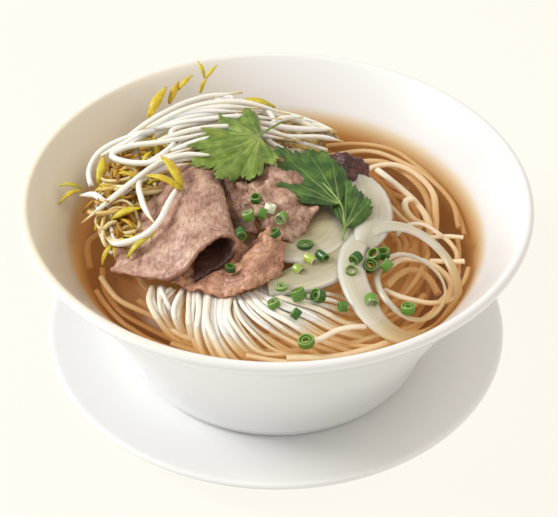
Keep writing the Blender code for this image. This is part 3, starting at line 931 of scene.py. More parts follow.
# %% The onion finish
def onion_finish(name, inner, middle, outer, solidity):
    """Colours from the band's inner edge to its outer one, and how solid the band looks."""
    finish, tree, shader = new_material(
        name,
        IOR=1.36,
        Roughness=0.2,
        Alpha=solidity,
        Subsurface_Weight=0.5,
        Subsurface_Scale=3 * MM,
        Subsurface_Radius=(1.0, 0.95, 0.7),
        Coat_Weight=0.3,
        Coat_Roughness=0.1,
    )
    lines = sheet_noise(tree, (9, 0.5, 1), 1.6, 3.0)
    across = add_node(tree, "ShaderNodeSeparateXYZ", {"Vector": sheet_place(tree)}).outputs["X"]
    # On the wilted slices the darker inner edge of this tone is painted shade.
    tone = ramp(tree, across, [(0.0, inner), (0.55, middle), (1.0, outer)])
    veins = ramp(tree, lines, [(0.3, "CFC9A8"), (0.6, "FFFFFF")])
    flesh = blend_colours(tree, 0.3, tone, veins, "MULTIPLY")
    edge = calculate(tree, "MULTIPLY", named_value(tree, "rim"), 0.8)
    flesh = blend_colours(tree, edge, flesh, linear("F6F4EA"))
    cover(tree, shader, under_broth(tree, shader, flesh), bump(tree, lines, 0.1, 0.2))
    return finish


raw_onion = onion_finish("raw_onion_ring", "EDE9DC", "D8D2BC", "F0EDE0", 0.8)
# The wilted slices are darker and more olive: partly their own wilted tone, partly painted shade.
wilted_shaded_onion = onion_finish("wilted_onion_slice", "968A64", "BCB496", "E0DAC8", 1.0)

# %% Onion bands
def band(name, place, around, across, thickness, closed, finish):
    """A band with a lens-shaped section: place(t, s) gives its middle, t along it and s from edge to edge."""
    bm = bmesh.new()
    layer = bm.loops.layers.uv.new("sheet")
    rim = bm.verts.layers.float.new("rim")
    section = 2 * across
    rows, uv_of = [], {}
    for i in range(around + (0 if closed else 1)):
        t = i / around
        middles = [place(t, s / across) for s in range(across + 1)]
        row = []
        for k in range(section):
            index, side = (k, 1) if k <= across else (section - k, -1)
            s = index / across
            lens = math.sqrt(max(0.0, 1 - (2 * s - 1) ** 2 * 0.96))
            vert = bm.verts.new(middles[index] + Vector((0, 0, side * thickness / 2 * lens)))
            vert[rim] = 1 - smooth(min(s, 1 - s) / 0.16)
            uv_of[vert] = (s, t * 6)
            row.append(vert)
        rows.append(row)
    join_rows(bm, rows + ([rows[0]] if closed else []), True)
    if not closed:
        bm.faces.new(rows[0])
        bm.faces.new(rows[-1])
    bmesh.ops.recalc_face_normals(bm, faces=bm.faces)
    write_uv(bm, layer, uv_of)
    return object_from(bm, name, [finish], 180)


def crescent(centre, inner, outer, start, end, inner_height, outer_height, seed):
    """A bent slice between two radii and two angles, which narrows to a point at both ends."""

    def place(t, s):
        angle = math.radians(mix(start, end, t))
        taper = math.sin(math.pi * mix(0.06, 0.94, t)) ** 0.55
        middle = mix(inner, outer, 0.55)
        radius = middle + (s - 0.55) * (outer - inner) * taper
        x = centre[0] + radius * math.cos(angle)
        y = centre[1] + radius * math.sin(angle)
        cup = 1.4 * math.sin(math.pi * s)
        sway = 0.9 * noise.noise((x * 0.06 + seed, y * 0.06, seed))
        return Vector((x, y, mix(inner_height, outer_height, s) + cup + sway))

    return place


def oval(centre, reach, width, back, front, seed):
    """A ring that dives from its height at the back to that at the front, inside the bowl's wall."""

    def place(t, s):
        angle = 2 * math.pi * t
        wobble = 1 + 0.035 * math.sin(2 * angle + seed) + 0.02 * math.sin(3 * angle)
        inward = width * (1 - s) * (0.78 - 0.36 * math.cos(angle - 0.4))
        x = centre[0] + (reach[0] * wobble - inward) * math.cos(angle)
        y = centre[1] + (reach[1] * wobble - inward) * math.sin(angle)
        dive = mix(front, back, smooth(0.5 + 0.5 * math.sin(angle - 0.87)))
        z = dive + 0.4 * math.sin(3 * angle + seed) + 0.8 * math.sin(math.pi * s)
        return kept_inside(Vector((x, y, z)), 1.4)

    return place


INNER = crescent((5, -6), 6, 30, 50, -118, 77.2, 75.0, 1)
MIDDLE = crescent((-12, 1), 38, 58, 26, -80, 75.2, 72.6, 2)
OUTER = crescent((-12, 1), 44, 63, 34, -26, 78.2, 75.0, 3)
LARGE_RING = oval((52, -37), (26, 34), 10.6, 76.4, 62.6, 1)
SMALL_RING = oval((56, -40), (15, 19), 2.8, 71.4, 65.6, 2)
onions = [
    (band("onion_inner", INNER, 70, 12, 2.0, False, wilted_shaded_onion), "onion_slice_inner"),
    (band("onion_middle", MIDDLE, 80, 12, 2.0, False, wilted_shaded_onion), "onion_slice_middle"),
    (band("onion_outer", OUTER, 60, 12, 1.8, False, raw_onion), "onion_slice_outer"),
    (band("onion_band_large", LARGE_RING, 120, 10, 1.8, True, raw_onion), "onion_ring_large"),
    (band("onion_band_small", SMALL_RING, 80, 8, 1.6, True, raw_onion), "onion_ring_small"),
]
print("onion pieces:", len(onions))

# %% [markdown]
# ## Bean sprouts
# Mung bean sprouts have a thick, glassy white stem, a thin orange root at one end and two small yellow leaves
# at the other. They lie in a loose heap that sweeps up to the back. The ones on top follow given routes; the
# rest are bent at random inside the heap. Stems use the sweeping tree, with a radius that thins towards the
# root, and the finish turns from white to straw along each stem.

# %% Sprout finishes
sprout_white, tree, shader = new_material(
    "mung_bean_sprout_stem",
    IOR=1.38,
    Roughness=0.22,
    Subsurface_Weight=0.6,
    Subsurface_Scale=2.4 * MM,
    Subsurface_Radius=(1.0, 0.95, 0.85),
    Coat_Weight=0.2,
)
HEAD_TO_ROOT = [(0.0, "F0EBC8"), (0.06, "FBF9F2"), (0.86, "FCFAF4"), (0.95, "E8D6A8"), (1.0, "BC9050")]
SHADES = [(0.0, "A87A34"), (0.14, "D2AE54"), (0.3, "EBDDB4"), (0.45, "FAF6EC"), (1.0, "FFFFFF")]
stem = ramp(tree, named_value(tree, "along"), HEAD_TO_ROOT)
dull = ramp(tree, named_value(tree, "shade"), SHADES)
cover(tree, shader, under_broth(tree, shader, blend_colours(tree, 1.0, stem, dull, "MULTIPLY")))

sprout_yellow, tree, shader = new_material(
    "mung_bean_sprout_leaf",
    IOR=1.4,
    Roughness=0.35,
    Subsurface_Weight=0.2,
    Subsurface_Scale=1 * MM,
    Subsurface_Radius=(1.0, 0.8, 0.2),
)
YELLOWS = [(0.0, "9C6C28"), (0.35, "C89A34"), (0.7, "E0C63A"), (1.0, "D2CC40")]
yellow = ramp(tree, named_value(tree, "shade"), YELLOWS)
freckles = ramp(tree, textured(tree, 2.5), [(0.35, "C9A24A"), (0.6, "FFFFFF")])
cover(tree, shader, blend_colours(tree, 0.5, yellow, freckles, "MULTIPLY"))

# %% Sprouts on given routes
# The first point of each route is its head end.
ROUTES = [
    [(-84, 20, 80), (-82, 12, 80), (-84, 22, 82), (-79, 33, 85), (-64, 41, 88), (-40, 50, 89), (-24, 57, 88)],
    [(-71, 38, 86), (-55, 56, 88), (-37, 70, 88.5), (-17, 79, 86)],
    [(-63, 50, 86), (-49, 63, 88), (-31, 75, 88)],
    [(-79, 27, 86), (-62, 39, 88.5), (-42, 51, 90), (-22, 59, 88)],
    [(-30, 40, 90), (-50, 33, 90), (-66, 31, 88.5), (-74, 25, 88),
     (-67, 20, 88), (-56, 19, 88.5), (-46, 25, 89), (-33, 31, 90)],
    [(-22, 53, 89), (-38, 47, 90), (-48, 42, 89.5), (-47, 32, 89), (-53, 23, 89), (-62, 19, 87)],
    [(-34, 21, 90), (-47, 18, 90), (-56, 13, 89), (-60, 5, 88),
     (-58, -6, 87), (-55, -14, 86), (-51, -21, 85.5)],
    [(-43, -1, 90), (-46, -11, 89.5), (-49, -20, 87.5), (-54, -26, 85),
     (-61, -29, 83), (-68, -29, 81.5), (-72, -23, 80)],
    [(-30, 20, 92), (-41, 20, 92), (-52, 15, 91), (-62, 5, 89), (-73, -7, 86), (-83, -16, 82)],
    [(-72, -1, 82), (-75, -1, 82), (-80, 5, 81), (-87, 7, 79)],
    [(-10, 55, 86), (6, 57, 81), (27, 63, 76)],
    [(-8, 48, 86), (5, 51, 80.5), (20, 55, 77.5), (31, 55, 75)],
    [(-12, 48, 86), (-7, 46, 84.5), (-1, 40, 83), (8, 37, 81)],
    [(-6, 54, 84), (-3, 58, 82.5), (3, 65, 81), (12, 69, 79)],
    [(-36, 60, 89), (-33, 66, 88.5), (-27, 65, 87), (-22, 56, 86)],
    [(-28, 70, 87), (-22, 74, 86.5), (-21, 66, 86), (-16, 55, 85)],
    [(-30, 72, 87), (-13, 71, 85.5), (-7, 70, 84), (-3, 66, 82), (1, 57, 79)],
    [(-60, 42, 89), (-44, 46, 91), (-19, 53, 90), (2, 60, 84)],
    [(-54, 34, 90), (-34, 42, 91), (-10, 47, 88), (12, 46, 81)],
    [(-66, 36, 88), (-48, 50, 90), (-30, 60, 90), (-8, 66, 86)],
    [(-60, 46, 88), (-40, 60, 90), (-18, 68, 88), (6, 68, 81)],
    [(-70, 30, 87), (-56, 44, 89), (-38, 55, 90.5), (-14, 60, 88)],
    [(-48, 27, 89), (-32, 35, 90), (-14, 42, 88), (4, 44, 84)],
    [(-76, -6, 80), (-66, 4, 84), (-52, 14, 88), (-38, 18, 89)],
]


def stem_radii(count, thick):
    """Full for most of the way, thinning to a root at the end."""
    radii = []
    for i in range(count + 1):
        neck = 0.45 + 0.55 * min(1, 5 * i / count) ** 0.5
        root = 1 - 0.72 * smooth((i / count - 0.72) / 0.28)
        radii.append(thick * neck * root)
    return radii


rng = random.Random(21)
stems, heads = [], []
for route in ROUTES:
    points = refined(route)
    stems.append((points, stem_radii(len(points) - 1, rng.uniform(1.25, 1.5)), rng.uniform(0.6, 1)))

# %% Sprouts in the heap
def heap_place(t, side, level):
    """A point in the banana-shaped heap: t runs from its left end to its back right end."""
    angle = math.radians(mix(200, 66, t))
    swell = math.sin(math.pi * mix(0.08, 0.92, t)) ** 0.6
    radius = 66 - 5 * t + side * 17 * swell
    height = LEVEL + 1.5 + level * 15 * swell * math.sqrt(max(0.0, 1 - side * side))
    limit = wall_radius(min(height, RIM_HEIGHT - 1)) - 2.5
    radius = min(radius + 0.3 * (height - LEVEL), limit)
    return Vector((radius * math.cos(angle), radius * math.sin(angle), height))


SPROUTS, ON_TOP, ROOTS = 108, 23, 130
for i in range(SPROUTS):
    top = i < ON_TOP
    t = rng.uniform(0.02, 0.5) if top else rng.uniform(0.0, 0.85)
    side = rng.uniform(-0.8, 0.9)
    level = rng.uniform(0.86, 1.02) if top else rng.uniform(0.1, 0.95)
    span = rng.uniform(0.2, 0.5) if top else rng.uniform(0.14, 0.4)
    span *= rng.choice((1, 1, -1)) if top else rng.choice((1, 1, 1, -1))
    bend = rng.uniform(-1.6, 1.6) if top else rng.uniform(-0.9, 0.9)
    points = []
    for k in range(8):
        s = k / 7
        across_heap = max(-1, min(0.95, side + bend * math.sin(2.6 * s)))
        points.append(heap_place(min(1, max(0, t + span * s)), across_heap, level * (1 - 0.2 * s)))
    radii = stem_radii(7, rng.uniform(1.05, 1.4))
    shade = rng.uniform(0.35, 1) if top else rng.uniform(0.1, 0.4 if t < 0.32 else 0.9)
    stems.append((points, radii, shade))
    if t < 0.42:
        heads.append((points[0], points[0] - points[1] + Vector((0, 0, 0.6)), rng.random()))
# Thin roots and husks, curled together at the left end.
for _ in range(ROOTS):
    centre = heap_place(rng.uniform(0.0, 0.4), rng.uniform(-0.9, 0.5), rng.uniform(0.5, 0.95))
    turn, curl = rng.uniform(0, 6.28), rng.uniform(2.2, 4.8)
    size, tilt = rng.uniform(3.2, 8.0), rng.uniform(-0.8, 0.8)
    points = []
    for k in range(7):
        angle = turn + curl * k / 6
        x, y = size * math.cos(angle), size * math.sin(angle)
        points.append(centre + Vector((x, y, tilt * size * math.sin(angle) + 0.4 * k)))
    stems.append((points, [rng.uniform(0.5, 1.05)] * 7, rng.uniform(0.0, 0.3)))
sprouts = swept("bean_sprout_stems", stems, sprout_white, 1.8, 8, 1.0)

# %% [markdown]
# The leaves at the head of a sprout are two slim blades that open like a beak. One blade is modelled once,
# with under a hundred faces, and Geometry Nodes puts it on every point of a small cloud whose points carry a
# direction and a size.

# %% The planting tree
def planting_tree():
    """Instances one object on points, turned to the direction 'aim' and scaled by 'size'."""
    tree, given = new_tree("plant_on_points", [("Piece", "Object"), ("Finish", "Material")])
    piece = add_node(tree, "GeometryNodeObjectInfo", {"Object": given["Piece"]}).outputs["Geometry"]
    aim = attribute(tree, "aim", "FLOAT_VECTOR")
    turn = add_node(tree, "FunctionNodeEulerToRotation", {"Euler": aim}).outputs[0]
    size = attribute(tree, "size", "FLOAT_VECTOR")
    planting = {"Points": given["Geometry"], "Instance": piece, "Rotation": turn, "Scale": size}
    copies = add_node(tree, "GeometryNodeInstanceOnPoints", planting).outputs[0]
    return end_tree(tree, copies, given["Finish"])


PLANT = planting_tree()


def planted(name, piece, spots, finish):
    """Copies of a piece at spots, each (point in mm, turn as a Euler, scale, shade)."""
    mesh = bpy.data.meshes.new(name)
    mesh.from_pydata([Vector(point) * MM for point, _, _, _ in spots], [], [])
    turns = [angle for _, turn, _, _ in spots for angle in turn]
    sizes = [value for _, _, scale, _ in spots for value in scale]
    mesh.attributes.new("aim", "FLOAT_VECTOR", "POINT").data.foreach_set("vector", turns)
    mesh.attributes.new("size", "FLOAT_VECTOR", "POINT").data.foreach_set("vector", sizes)
    mesh.attributes.new("shade", "FLOAT", "POINT").data.foreach_set("value", [spot[3] for spot in spots])
    source = bpy.data.objects.new(name, mesh)
    bpy.context.scene.collection.objects.link(source)
    made = run_tree(source, PLANT, {"Piece": piece, "Finish": finish})
    bpy.data.objects.remove(piece)
    print(name, "copies:", len(spots), "faces:", len(made.data.polygons))
    return made


# %% Sprout leaves
def blade():
    """A slim cupped blade 1 m long that points along +X, to be scaled down where it is planted."""
    bm = bmesh.new()
    steps, across = 8, 4
    rows = []
    for i in range(steps + 1):
        t = i / steps
        half = 0.075 * math.sin(math.pi * min(1, t * 0.97 + 0.03) ** 0.8) + 0.004
        row = []
        for k in range(across + 1):
            s = 2 * k / across - 1
            row.append(bm.verts.new((t, half * s, 0.17 * math.sin(math.pi * t) - 0.5 * half * s * s)))
        rows.append(row)
    for low, high in zip(rows, rows[1:]):
        for k in range(across):
            bm.faces.new((low[k], high[k], high[k + 1], low[k + 1]))
    made = object_from(bm, "sprout_blade", [sprout_yellow], 180)
    made.data.transform(Matrix.Scale(1 / MM, 4))
    return thickened(made, 0.07)


def aimed(direction, roll):
    """The Euler turn that brings +X to a direction and then rolls about it."""
    x = Vector(direction).normalized()
    side = Vector((0, 0, 1)).cross(x)
    side = side.normalized() if side.length > 0.01 else Vector((0, 1, 0))
    up = x.cross(side)
    turn = Matrix((x, side, up)).transposed() @ Matrix.Rotation(roll, 3, "X")
    return tuple(turn.to_euler("XYZ"))


def leaf_pair(point, direction, length, opening, shade):
    """Two blades that open from one point."""
    spots = []
    side = Vector(direction).cross(Vector((rng.uniform(-1, 1), rng.uniform(-1, 1), 1))).normalized()
    for sign in (1, -1):
        aim = Vector(direction).normalized() + side * sign * opening
        size = length * rng.uniform(0.85, 1.1) * MM
        spots.append((point, aimed(aim, rng.uniform(-0.8, 0.8)), (size, size, size), shade))
    return spots


blades = []
for point, direction, shade in heads:
    blades += leaf_pair(point, direction, rng.uniform(8, 12), rng.uniform(0.06, 0.35), shade)
LEAF_PAIRS = 14
# Leaves that stand out of the heap: place, direction and length.
STANDING = [
    ((-60, 56, 87), (0.42, 0.84, 0.35), 18),
    ((-59, 59, 88), (0.36, 0.86, 0.35), 12),
    ((-51, 66, 88), (0.3, 0.89, 0.33), 13),
    ((-47, 73, 91), (0.67, 0.62, 0.42), 10),
    ((-37, 77, 87), (0.38, 0.61, 0.69), 8),
    ((-34, 82, 92), (0.62, 0.57, 0.53), 8),
    ((-35, 82, 92), (-0.4, 0.71, 0.58), 9),
    ((-18, 72, 86), (0.97, 0.02, -0.24), 17),
    ((-86, 11, 80), (-0.96, -0.15, 0.23), 10),
    ((-86, 10, 80), (-0.8, -0.55, -0.26), 12),
    ((-79, 13, 81), (0.07, 0.96, 0.27), 15),
    ((-41, -3, 90), (-0.91, 0.4, 0.12), 17),
    ((-41, -1, 90), (-0.51, 0.83, 0.22), 19),
    ((-50, -22, 86), (-0.35, -0.77, -0.54), 7),
    ((-53, -27, 84), (-0.69, -0.55, -0.47), 13),
    ((-69, -27, 80), (-0.41, -0.6, -0.69), 10),
    ((-71, -13, 82), (0.94, 0.24, 0.22), 14),
    ((-67, 32, 87), (0.96, 0.26, 0.1), 10),
    ((-48, 40, 88), (0.95, 0.3, 0), 11),
    ((-66, 2, 82), (-0.7, -0.5, 0.1), 12),
    ((-72, 18, 82), (0.5, 0.6, 0.2), 11),
    ((-60, 12, 84), (-0.8, 0.2, 0.1), 11),
]
for point, direction, length in STANDING:
    aim = Vector(direction)
    for turn in (0, 0.5):
        size = (length * MM, length * MM, length * MM)
        blades.append((point, aimed(aim + Vector((0, 0, 0.05 * turn)), turn), size, rng.uniform(0.55, 1)))
for _ in range(LEAF_PAIRS):
    point = heap_place(rng.uniform(0.0, 0.42), rng.uniform(-0.9, 0.5), rng.uniform(0.6, 1.0))
    direction = (rng.uniform(-1, 1), rng.uniform(-1, 1), rng.uniform(-0.3, 0.5))
    blades += leaf_pair(point, direction, rng.uniform(8, 13), rng.uniform(0.06, 0.4), rng.uniform(0, 0.7))
sprout_leaves = planted("bean_sprout_leaves", blade(), blades, sprout_yellow)

# %% The sprouts' core
core_finish, tree, shader = new_material("mung_bean_sprout_depths", Roughness=0.5)
# Dark to straw mottle: partly the brown of roots and husks, partly painted shade in the gaps of the heap.
ROOT_BROWN_AND_SHADE = [(0.35, "6B4A22"), (0.5, "A8884A"), (0.65, "D8C98E")]
cover(tree, shader, under_broth(tree, shader, ramp(tree, textured(tree, 4, 3, (1, 1, 2)), ROOT_BROWN_AND_SHADE)))


def sprout_core():
    """A lumpy closed heap, smaller than that of the sprouts, which closes the gaps between them."""
    bm = bmesh.new()
    rings = []
    stations, around = 60, 28
    base = LEVEL - 3
    for i in range(stations + 1):
        t = mix(0.03, 0.97, i / stations)
        ring = []
        for k in range(around):
            turn = 2 * math.pi * k / around
            point = heap_place(t, 0.82 * math.cos(turn), 0.62 * max(0, math.sin(turn)))
            lump = noise.noise(point * 0.25) * 1.6
            point.z = max(base, point.z + lump) if math.sin(turn) > 0 else base
            ring.append(bm.verts.new(point))
        rings.append(ring)
    join_rows(bm, rings, True)
    bm.faces.new(rings[0])
    bm.faces.new(rings[-1])
    bmesh.ops.recalc_face_normals(bm, faces=bm.faces)
    return object_from(bm, "bean_sprout_core", [core_finish], 80)


sprouts_inside = sprout_core()

# %% [markdown]
# ## Coriander
# A coriander leaf is a soft fan cut into lobes, each with rounded and fine teeth, on a thin stalk. The
# outline is a rule: distance from the stalk against angle, with a bump for each lobe and ripples for the
# teeth. Rings of the outline, shrunk towards the stalk, make the blade, which then sags and curls. Its veins
# are marked on its points, and a fine grain runs out from the stalk over a UV map of angle and distance.

# %% The leaf finish
def leaf_finish(name, dark, middle, light):
    finish, tree, shader = new_material(
        name,
        IOR=1.4,
        Roughness=0.42,
        Subsurface_Weight=0.12,
        Subsurface_Scale=0.8 * MM,
        Subsurface_Radius=(0.5, 1.0, 0.2),
    )
    blotches = ramp(tree, textured(tree, 7), [(0.3, dark), (0.5, middle), (0.7, light)])
    leaf = blend_colours(tree, named_value(tree, "vein"), blotches, linear("C3D08A"))
    fine = sheet_noise(tree, (40, 6, 1), 1.0, 2.0)
    grain = ramp(tree, fine, [(0.35, "7E9A5A"), (0.6, "FFFFFF")])
    cover(tree, shader, blend_colours(tree, 0.35, leaf, grain, "MULTIPLY"), bump(tree, fine, 0.2, 0.5))
    return finish


light_leaf = leaf_finish("fresh_coriander_light", "4E6A26", "738A36", "92A44C")
dark_leaf = leaf_finish("fresh_coriander_dark", "2C4A1A", "436428", "5E8036")

# %% Leaf blades
def leaf_reach(lobes, angle):
    """The distance from the stalk to the leaf's edge at an angle."""
    best = 4.0
    for centre, length, half in lobes:
        off = (angle - centre) / half
        if abs(off) < 1:
            shape = (1 - abs(off) ** 3.2) ** 0.5 * (1 - 0.1 * off * off)
            tooth = 0.86 + 0.14 * abs(math.cos(math.pi * 1.5 * off)) ** 0.6
            fine = 0.95 + 0.05 * abs(math.cos(math.pi * 4.5 * off))
            best = max(best, length * shape * tooth * fine)
    return best


def leaf_blade(name, base, heading, lobes, droop, tilt, finish, stalk):
    """A lobed leaf. lobes are (angle, length, half width), in degrees and millimetres, from the heading."""
    bm = bmesh.new()
    layer = bm.loops.layers.uv.new("sheet")
    vein_layer = bm.verts.layers.float.new("vein")
    low = min(angle - half for angle, _, half in lobes) - 4
    high = max(angle + half for angle, _, half in lobes) + 4
    steps, rings = 250, 15
    uv_of = {}
    rows = []
    for k in range(rings + 1):
        share = mix(0.03, 1, k / rings)
        row = []
        for i in range(steps + 1):
            angle = mix(low, high, i / steps)
            distance = share * leaf_reach(lobes, angle)
            turn = math.radians(heading + angle)
            x = base[0] + distance * math.cos(turn)
            y = base[1] + distance * math.sin(turn)
            crease = min(abs(angle - centre) / half for centre, _, half in lobes)
            cup = 1.6 * min(1, crease) ** 2 * share
            lumps = 0.9 * noise.noise((x * 0.13, y * 0.13, base[2]))
            ripple = 1.1 * share**3 * math.sin(math.radians(angle) * 11) + lumps
            z = base[2] + tilt * distance + droop * (distance / 35) ** 2 - cup + ripple
            vert = bm.verts.new((x, y, z))
            uv_of[vert] = (i / steps, share)
            from_vein = min(abs(angle - centre) for centre, _, _ in lobes) * distance * math.pi / 180
            main_vein = 0.5 * (1 - smooth(from_vein / 0.5)) * (1.1 - share)
            side_line = abs(math.sin(distance * 0.75 - crease * 3.2))
            vert[vein_layer] = main_vein + 0.22 * (1 - smooth(side_line / 0.2)) * share
            row.append(vert)
        rows.append(row)
    for near, far in zip(rows, rows[1:]):
        for i in range(steps):
            bm.faces.new((near[i], far[i], far[i + 1], near[i + 1]))
    bm.faces.new(list(reversed(rows[0])))
    bmesh.ops.recalc_face_normals(bm, faces=bm.faces)
    write_uv(bm, layer, uv_of)
    STALKS.append((refined(stalk, 4), [0.5] * ((len(stalk) - 1) * 4 + 1), 0.5))
    return thickened(object_from(bm, name, [finish], 180), 0.35 * MM)


STALKS = []
leaf_left = leaf_blade(
    "coriander_left",
    (-8, 34, 91.5),
    195,
    [(-88, 24, 20), (-60, 27, 18), (-32, 29, 16), (-8, 33, 17)]
    + [(18, 36, 17), (44, 36, 17), (68, 32, 16), (94, 21, 18)],
    -0.6,
    0.0,
    light_leaf,
    [(-9, 34, 91.8), (-4, 41, 91.5), (2, 49, 90)],
)
leaf_right = leaf_blade(
    "coriander_right",
    (27, -4, 84.5),
    122,
    [(-26, 27, 22), (-10, 37, 20), (8, 43, 22), (28, 34, 24), (44, 20, 26)],
    0.4,
    0.11,
    dark_leaf,
    [(20, 8, 86), (24, 2, 85.4), (28, -6, 84.2), (29, -15, 80)],
)
leaf_tip = leaf_blade(
    "coriander_tip",
    (29, -16, 80.5),
    75,
    [(-22, 19, 20), (-4, 24, 20), (12, 28, 20), (26, 20, 14)],
    -0.6,
    0.16,
    dark_leaf,
    [(29, -12, 81.5), (29, -16, 80.4), (28, -21, 78)],
)
stalk_finish, tree, shader = new_material(
    "coriander_stalk", Roughness=0.35, Subsurface_Weight=0.2, Subsurface_Scale=MM
)
cover(tree, shader, ramp(tree, textured(tree, 5), [(0.3, "6A8636"), (0.7, "8CA650")]))
stalks = swept("coriander_stalks", STALKS, stalk_finish, 1.5, 10)

# %% [markdown]
# ## Scallion
# Thin scallion greens cut across into rings and short tubes: dark outside, pale where cut, hollow, some with
# a second leaf inside. A single and a double ring are each modelled once and planted at each place with its
# own tilt and length.

# %% Scallion finish and ring
scallion_green, tree, shader = new_material(
    "chopped_scallion",
    IOR=1.4,
    Roughness=0.25,
    Subsurface_Weight=0.2,
    Subsurface_Scale=1 * MM,
    Subsurface_Radius=(0.6, 1.0, 0.3),
    Coat_Weight=0.3,
)
OUTSIDE = [(0.0, "1E4416"), (0.4, "3A6A26"), (0.7, "6A9636"), (0.95, "AFC050"), (1.0, "F2F0DA")]
CUT = [(0.0, "5C8838"), (0.6, "86A850"), (1.0, "F2EFD8")]
shade = named_value(tree, "shade")
green = blend_colours(tree, named_value(tree, "cut"), ramp(tree, shade, OUTSIDE), ramp(tree, shade, CUT))
cover(tree, shader, under_broth(tree, shader, green))

# Outer radius, inner radius and half height of the outer leaf and of the one inside it.
LEAVES = [(1.0, 0.74, 0.5), (0.6, 0.4, 0.4)]


def scallion_ring(leaves):
    """A hollow ring 1 m in radius and height about Z, with an uneven wall, to be scaled down."""
    bm = bmesh.new()
    cut = bm.verts.layers.float.new("cut")
    around = 22
    for outer, inner, top in leaves:
        up = [(outer, top * 0.85, 0), (outer * 0.94, top, 1), (inner * 1.06, top, 1), (inner, top * 0.8, 0.6)]
        down = [(r, -z, mark) for r, z, mark in reversed(up)]
        section = down[-1:] + up + down[:-1]
        rows = []
        for i in range(around):
            angle = 2 * math.pi * i / around
            uneven = 1 + 0.06 * math.cos(2 * angle)
            row = []
            for r, z, mark in section:
                vert = bm.verts.new((r * uneven * math.cos(angle), r * math.sin(angle) / uneven, z))
                vert[cut] = mark
                row.append(vert)
            rows.append(row)
        join_rows(bm, rows + [rows[0]], True)
    bmesh.ops.recalc_face_normals(bm, faces=bm.faces)
    made = object_from(bm, "scallion_ring_shape", [scallion_green], 60)
    made.data.transform(Matrix.Scale(1 / MM, 4))
    return made


# %% Scallion places
# Each place is x, y, the height of what it lies on, its radius, length, tilt in degrees and shade.
RINGS = [
    (-9, -9, 90.5, 2.9, 3.6, 10, 0.35), (-12, -17, 87.5, 3.2, 4.6, 25, 0.7), (-6, -16, 88, 3.0, 4, 80, 0.55),
    (2, -18, 87.5, 2.9, 5.5, 75, 0.72), (-1, -26, 85.5, 3.2, 3.2, 30, 0.3), (-15, -27, 86.0, 2.8, 6, 80, 0.3),
    (-19, -43, 80.6, 2.8, 3, 15, 0.1), (12, -25, 78.6, 4.2, 2.0, 12, 0.1), (9, -39, 76.6, 2.8, 5, 85, 0.85),
    (33, -34, 79.0, 3.0, 5, 88, 0.3), (31, -40, 77.4, 3.0, 1.8, 15, 0.45), (39, -35, 75.6, 3.6, 5, 30, 0.1),
    (45, -27, 75.8, 3.6, 4, 10, 0.35), (46, -34, 75.2, 3.2, 5.2, 60, 0.65),
    (41, -30, 77.6, 3.2, 4.4, 35, 0.5),
    (2, -49, 76.2, 3.2, 1.8, 5, 0.7), (9, -53, 75.5, 3.8, 5.5, 35, 0.6), (17, -53, 74.8, 3.6, 5, 50, 0.3),
    (39, -54, 73.6, 3.2, 5.2, 85, 0.7), (54, -55, 70.0, 3.7, 4, 12, 0.6), (8, -62, 73.0, 2.8, 4, 60, 0.4),
    (-1, -57, 74.0, 3.2, 3.4, 25, 0.65), (27, -57, 72.6, 2.8, 4, 85, 0.5),
    (12, -76, 71.0, 4.0, 3.6, 10, 0.55),
]
PIECES = [
    (-3, -13, 88.5, 3.0, 4.5, 30, 1.0), (19, -31, 77.6, 2.4, 6.5, 88, 0.25),
    (14, -33, 77.4, 2.3, 6, 88, 0.95),
]


CHOPPED = 0.8  # scales every ring and piece


def scattered(places):
    spots = []
    for x, y, z, radius, length, tilt, shade in places:
        turn = (math.radians(tilt), 0, rng.uniform(0, 6.28))
        wide = CHOPPED * radius * MM
        spots.append(((x, y, z), turn, (wide, wide, CHOPPED * length * MM), shade))
    return spots


single = scallion_ring(LEAVES[:1])
scallion_rings = planted("scallion_rings", single, scattered(RINGS[::2] + PIECES), scallion_green)
double = scallion_ring(LEAVES)
scallion_double = planted("scallion_double_rings", double, scattered(RINGS[1::2]), scallion_green)

# %% [markdown]
# ## Joining the pieces to the frame
# There are no joints, so every piece rides on the one body. Each piece says which solid it stands for, and
# that solid is hidden.

# %% Ride and replace
def join(piece, slot, *nodes):
    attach(piece, "root")
    if nodes:
        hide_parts(*nodes)


join(bowl, "porcelain", "bowl")
join(saucer, "porcelain", "saucer")
join(broth, "broth", "broth")
join(noodles, "rice_noodle", "noodles")
join(core, "rice_noodle")
for piece, node in beef:
    join(piece, "beef", node)
for piece, node in onions:
    join(piece, "onion", node)
join(sprouts, "bean_sprout", "bean_sprouts")
join(sprout_leaves, "bean_sprout")
join(sprouts_inside, "bean_sprout")
join(leaf_left, "coriander", "coriander_leaf_left")
join(leaf_right, "coriander", "coriander_leaf_right")
for piece in (leaf_tip, stalks, scallion_rings, scallion_double):
    join(piece, "coriander")

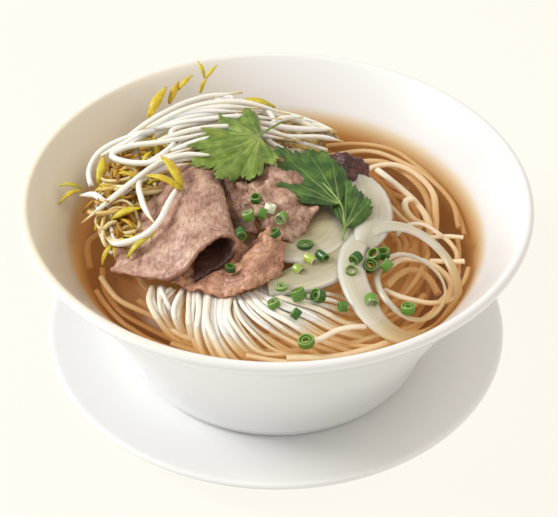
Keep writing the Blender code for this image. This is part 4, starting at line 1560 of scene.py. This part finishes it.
# %% [markdown]
# ## Studio
# A seamless cream table, one large soft light high on the left, a weak warm one on the right and a bright
# even surround. The floor glows a little, so that it stays cream under the soft shadow of the saucer, as on a
# light table.

# %% Floor
FLOOR_HALF = 3000  # half its side, in mm
bm = bmesh.new()
bmesh.ops.create_grid(bm, x_segments=1, y_segments=1, size=FLOOR_HALF)
floor_finish, tree, shader = new_material(
    "cream_table",
    Roughness=0.9,
    Base_Color=linear("5A5852"),
    Emission_Color=linear("FFFBF2"),
    Emission_Strength=0.9,
    Specular_IOR_Level=0.0,
)
floor = object_from(bm, "table_top", [floor_finish])

# %% Lights
def area_light(name, place, target, size, power, colour):
    data = bpy.data.lights.new(name, "AREA")
    data.shape = "DISK"
    data.size = size
    data.energy = power
    data.color = linear(colour)[:3]
    made = bpy.data.objects.new(name, data)
    made.location = place
    made.rotation_euler = (Vector(target) - Vector(place)).to_track_quat("-Z", "Y").to_euler()
    bpy.context.scene.collection.objects.link(made)


# Place, target, width in metres, watts and colour.
area_light("key", (-1.0, 0.05, 0.85), (0, 0, 0.05), 0.5, 12.3, "FFFFFF")
area_light("warm_fill", (0.55, -0.15, 0.95), (0, 0, 0.05), 0.6, 2.0, "FFE0B0")
world = bpy.data.worlds.new("surround")
world.use_nodes = True
surround = world.node_tree.nodes["Background"].inputs
surround["Color"].default_value = linear("FEFEFD")
surround["Strength"].default_value = 0.6
bpy.context.scene.world = world
bpy.context.scene.view_settings.view_transform = "Standard"

# %% Camera
# It looks down at about 40 degrees from the front, rolled by half a degree.
ROLL = math.radians(0.48)
camera_data = bpy.data.cameras.new("camera")
camera_data.lens = 88.0
camera_data.clip_start = 0.01
camera = bpy.data.objects.new("camera", camera_data)
bpy.context.scene.collection.objects.link(camera)
level_right = Vector((1.0, -0.0014, 0.00107))
level_up = Vector((0.00009, 0.6473, 0.7622))
right = level_right * math.cos(ROLL) + level_up * math.sin(ROLL)
up = level_up * math.cos(ROLL) - level_right * math.sin(ROLL)
camera.matrix_world = Matrix((right, up, right.cross(up))).transposed().to_4x4()
camera.location = (0, -0.4675, 0.4466)
bpy.context.scene.camera = camera
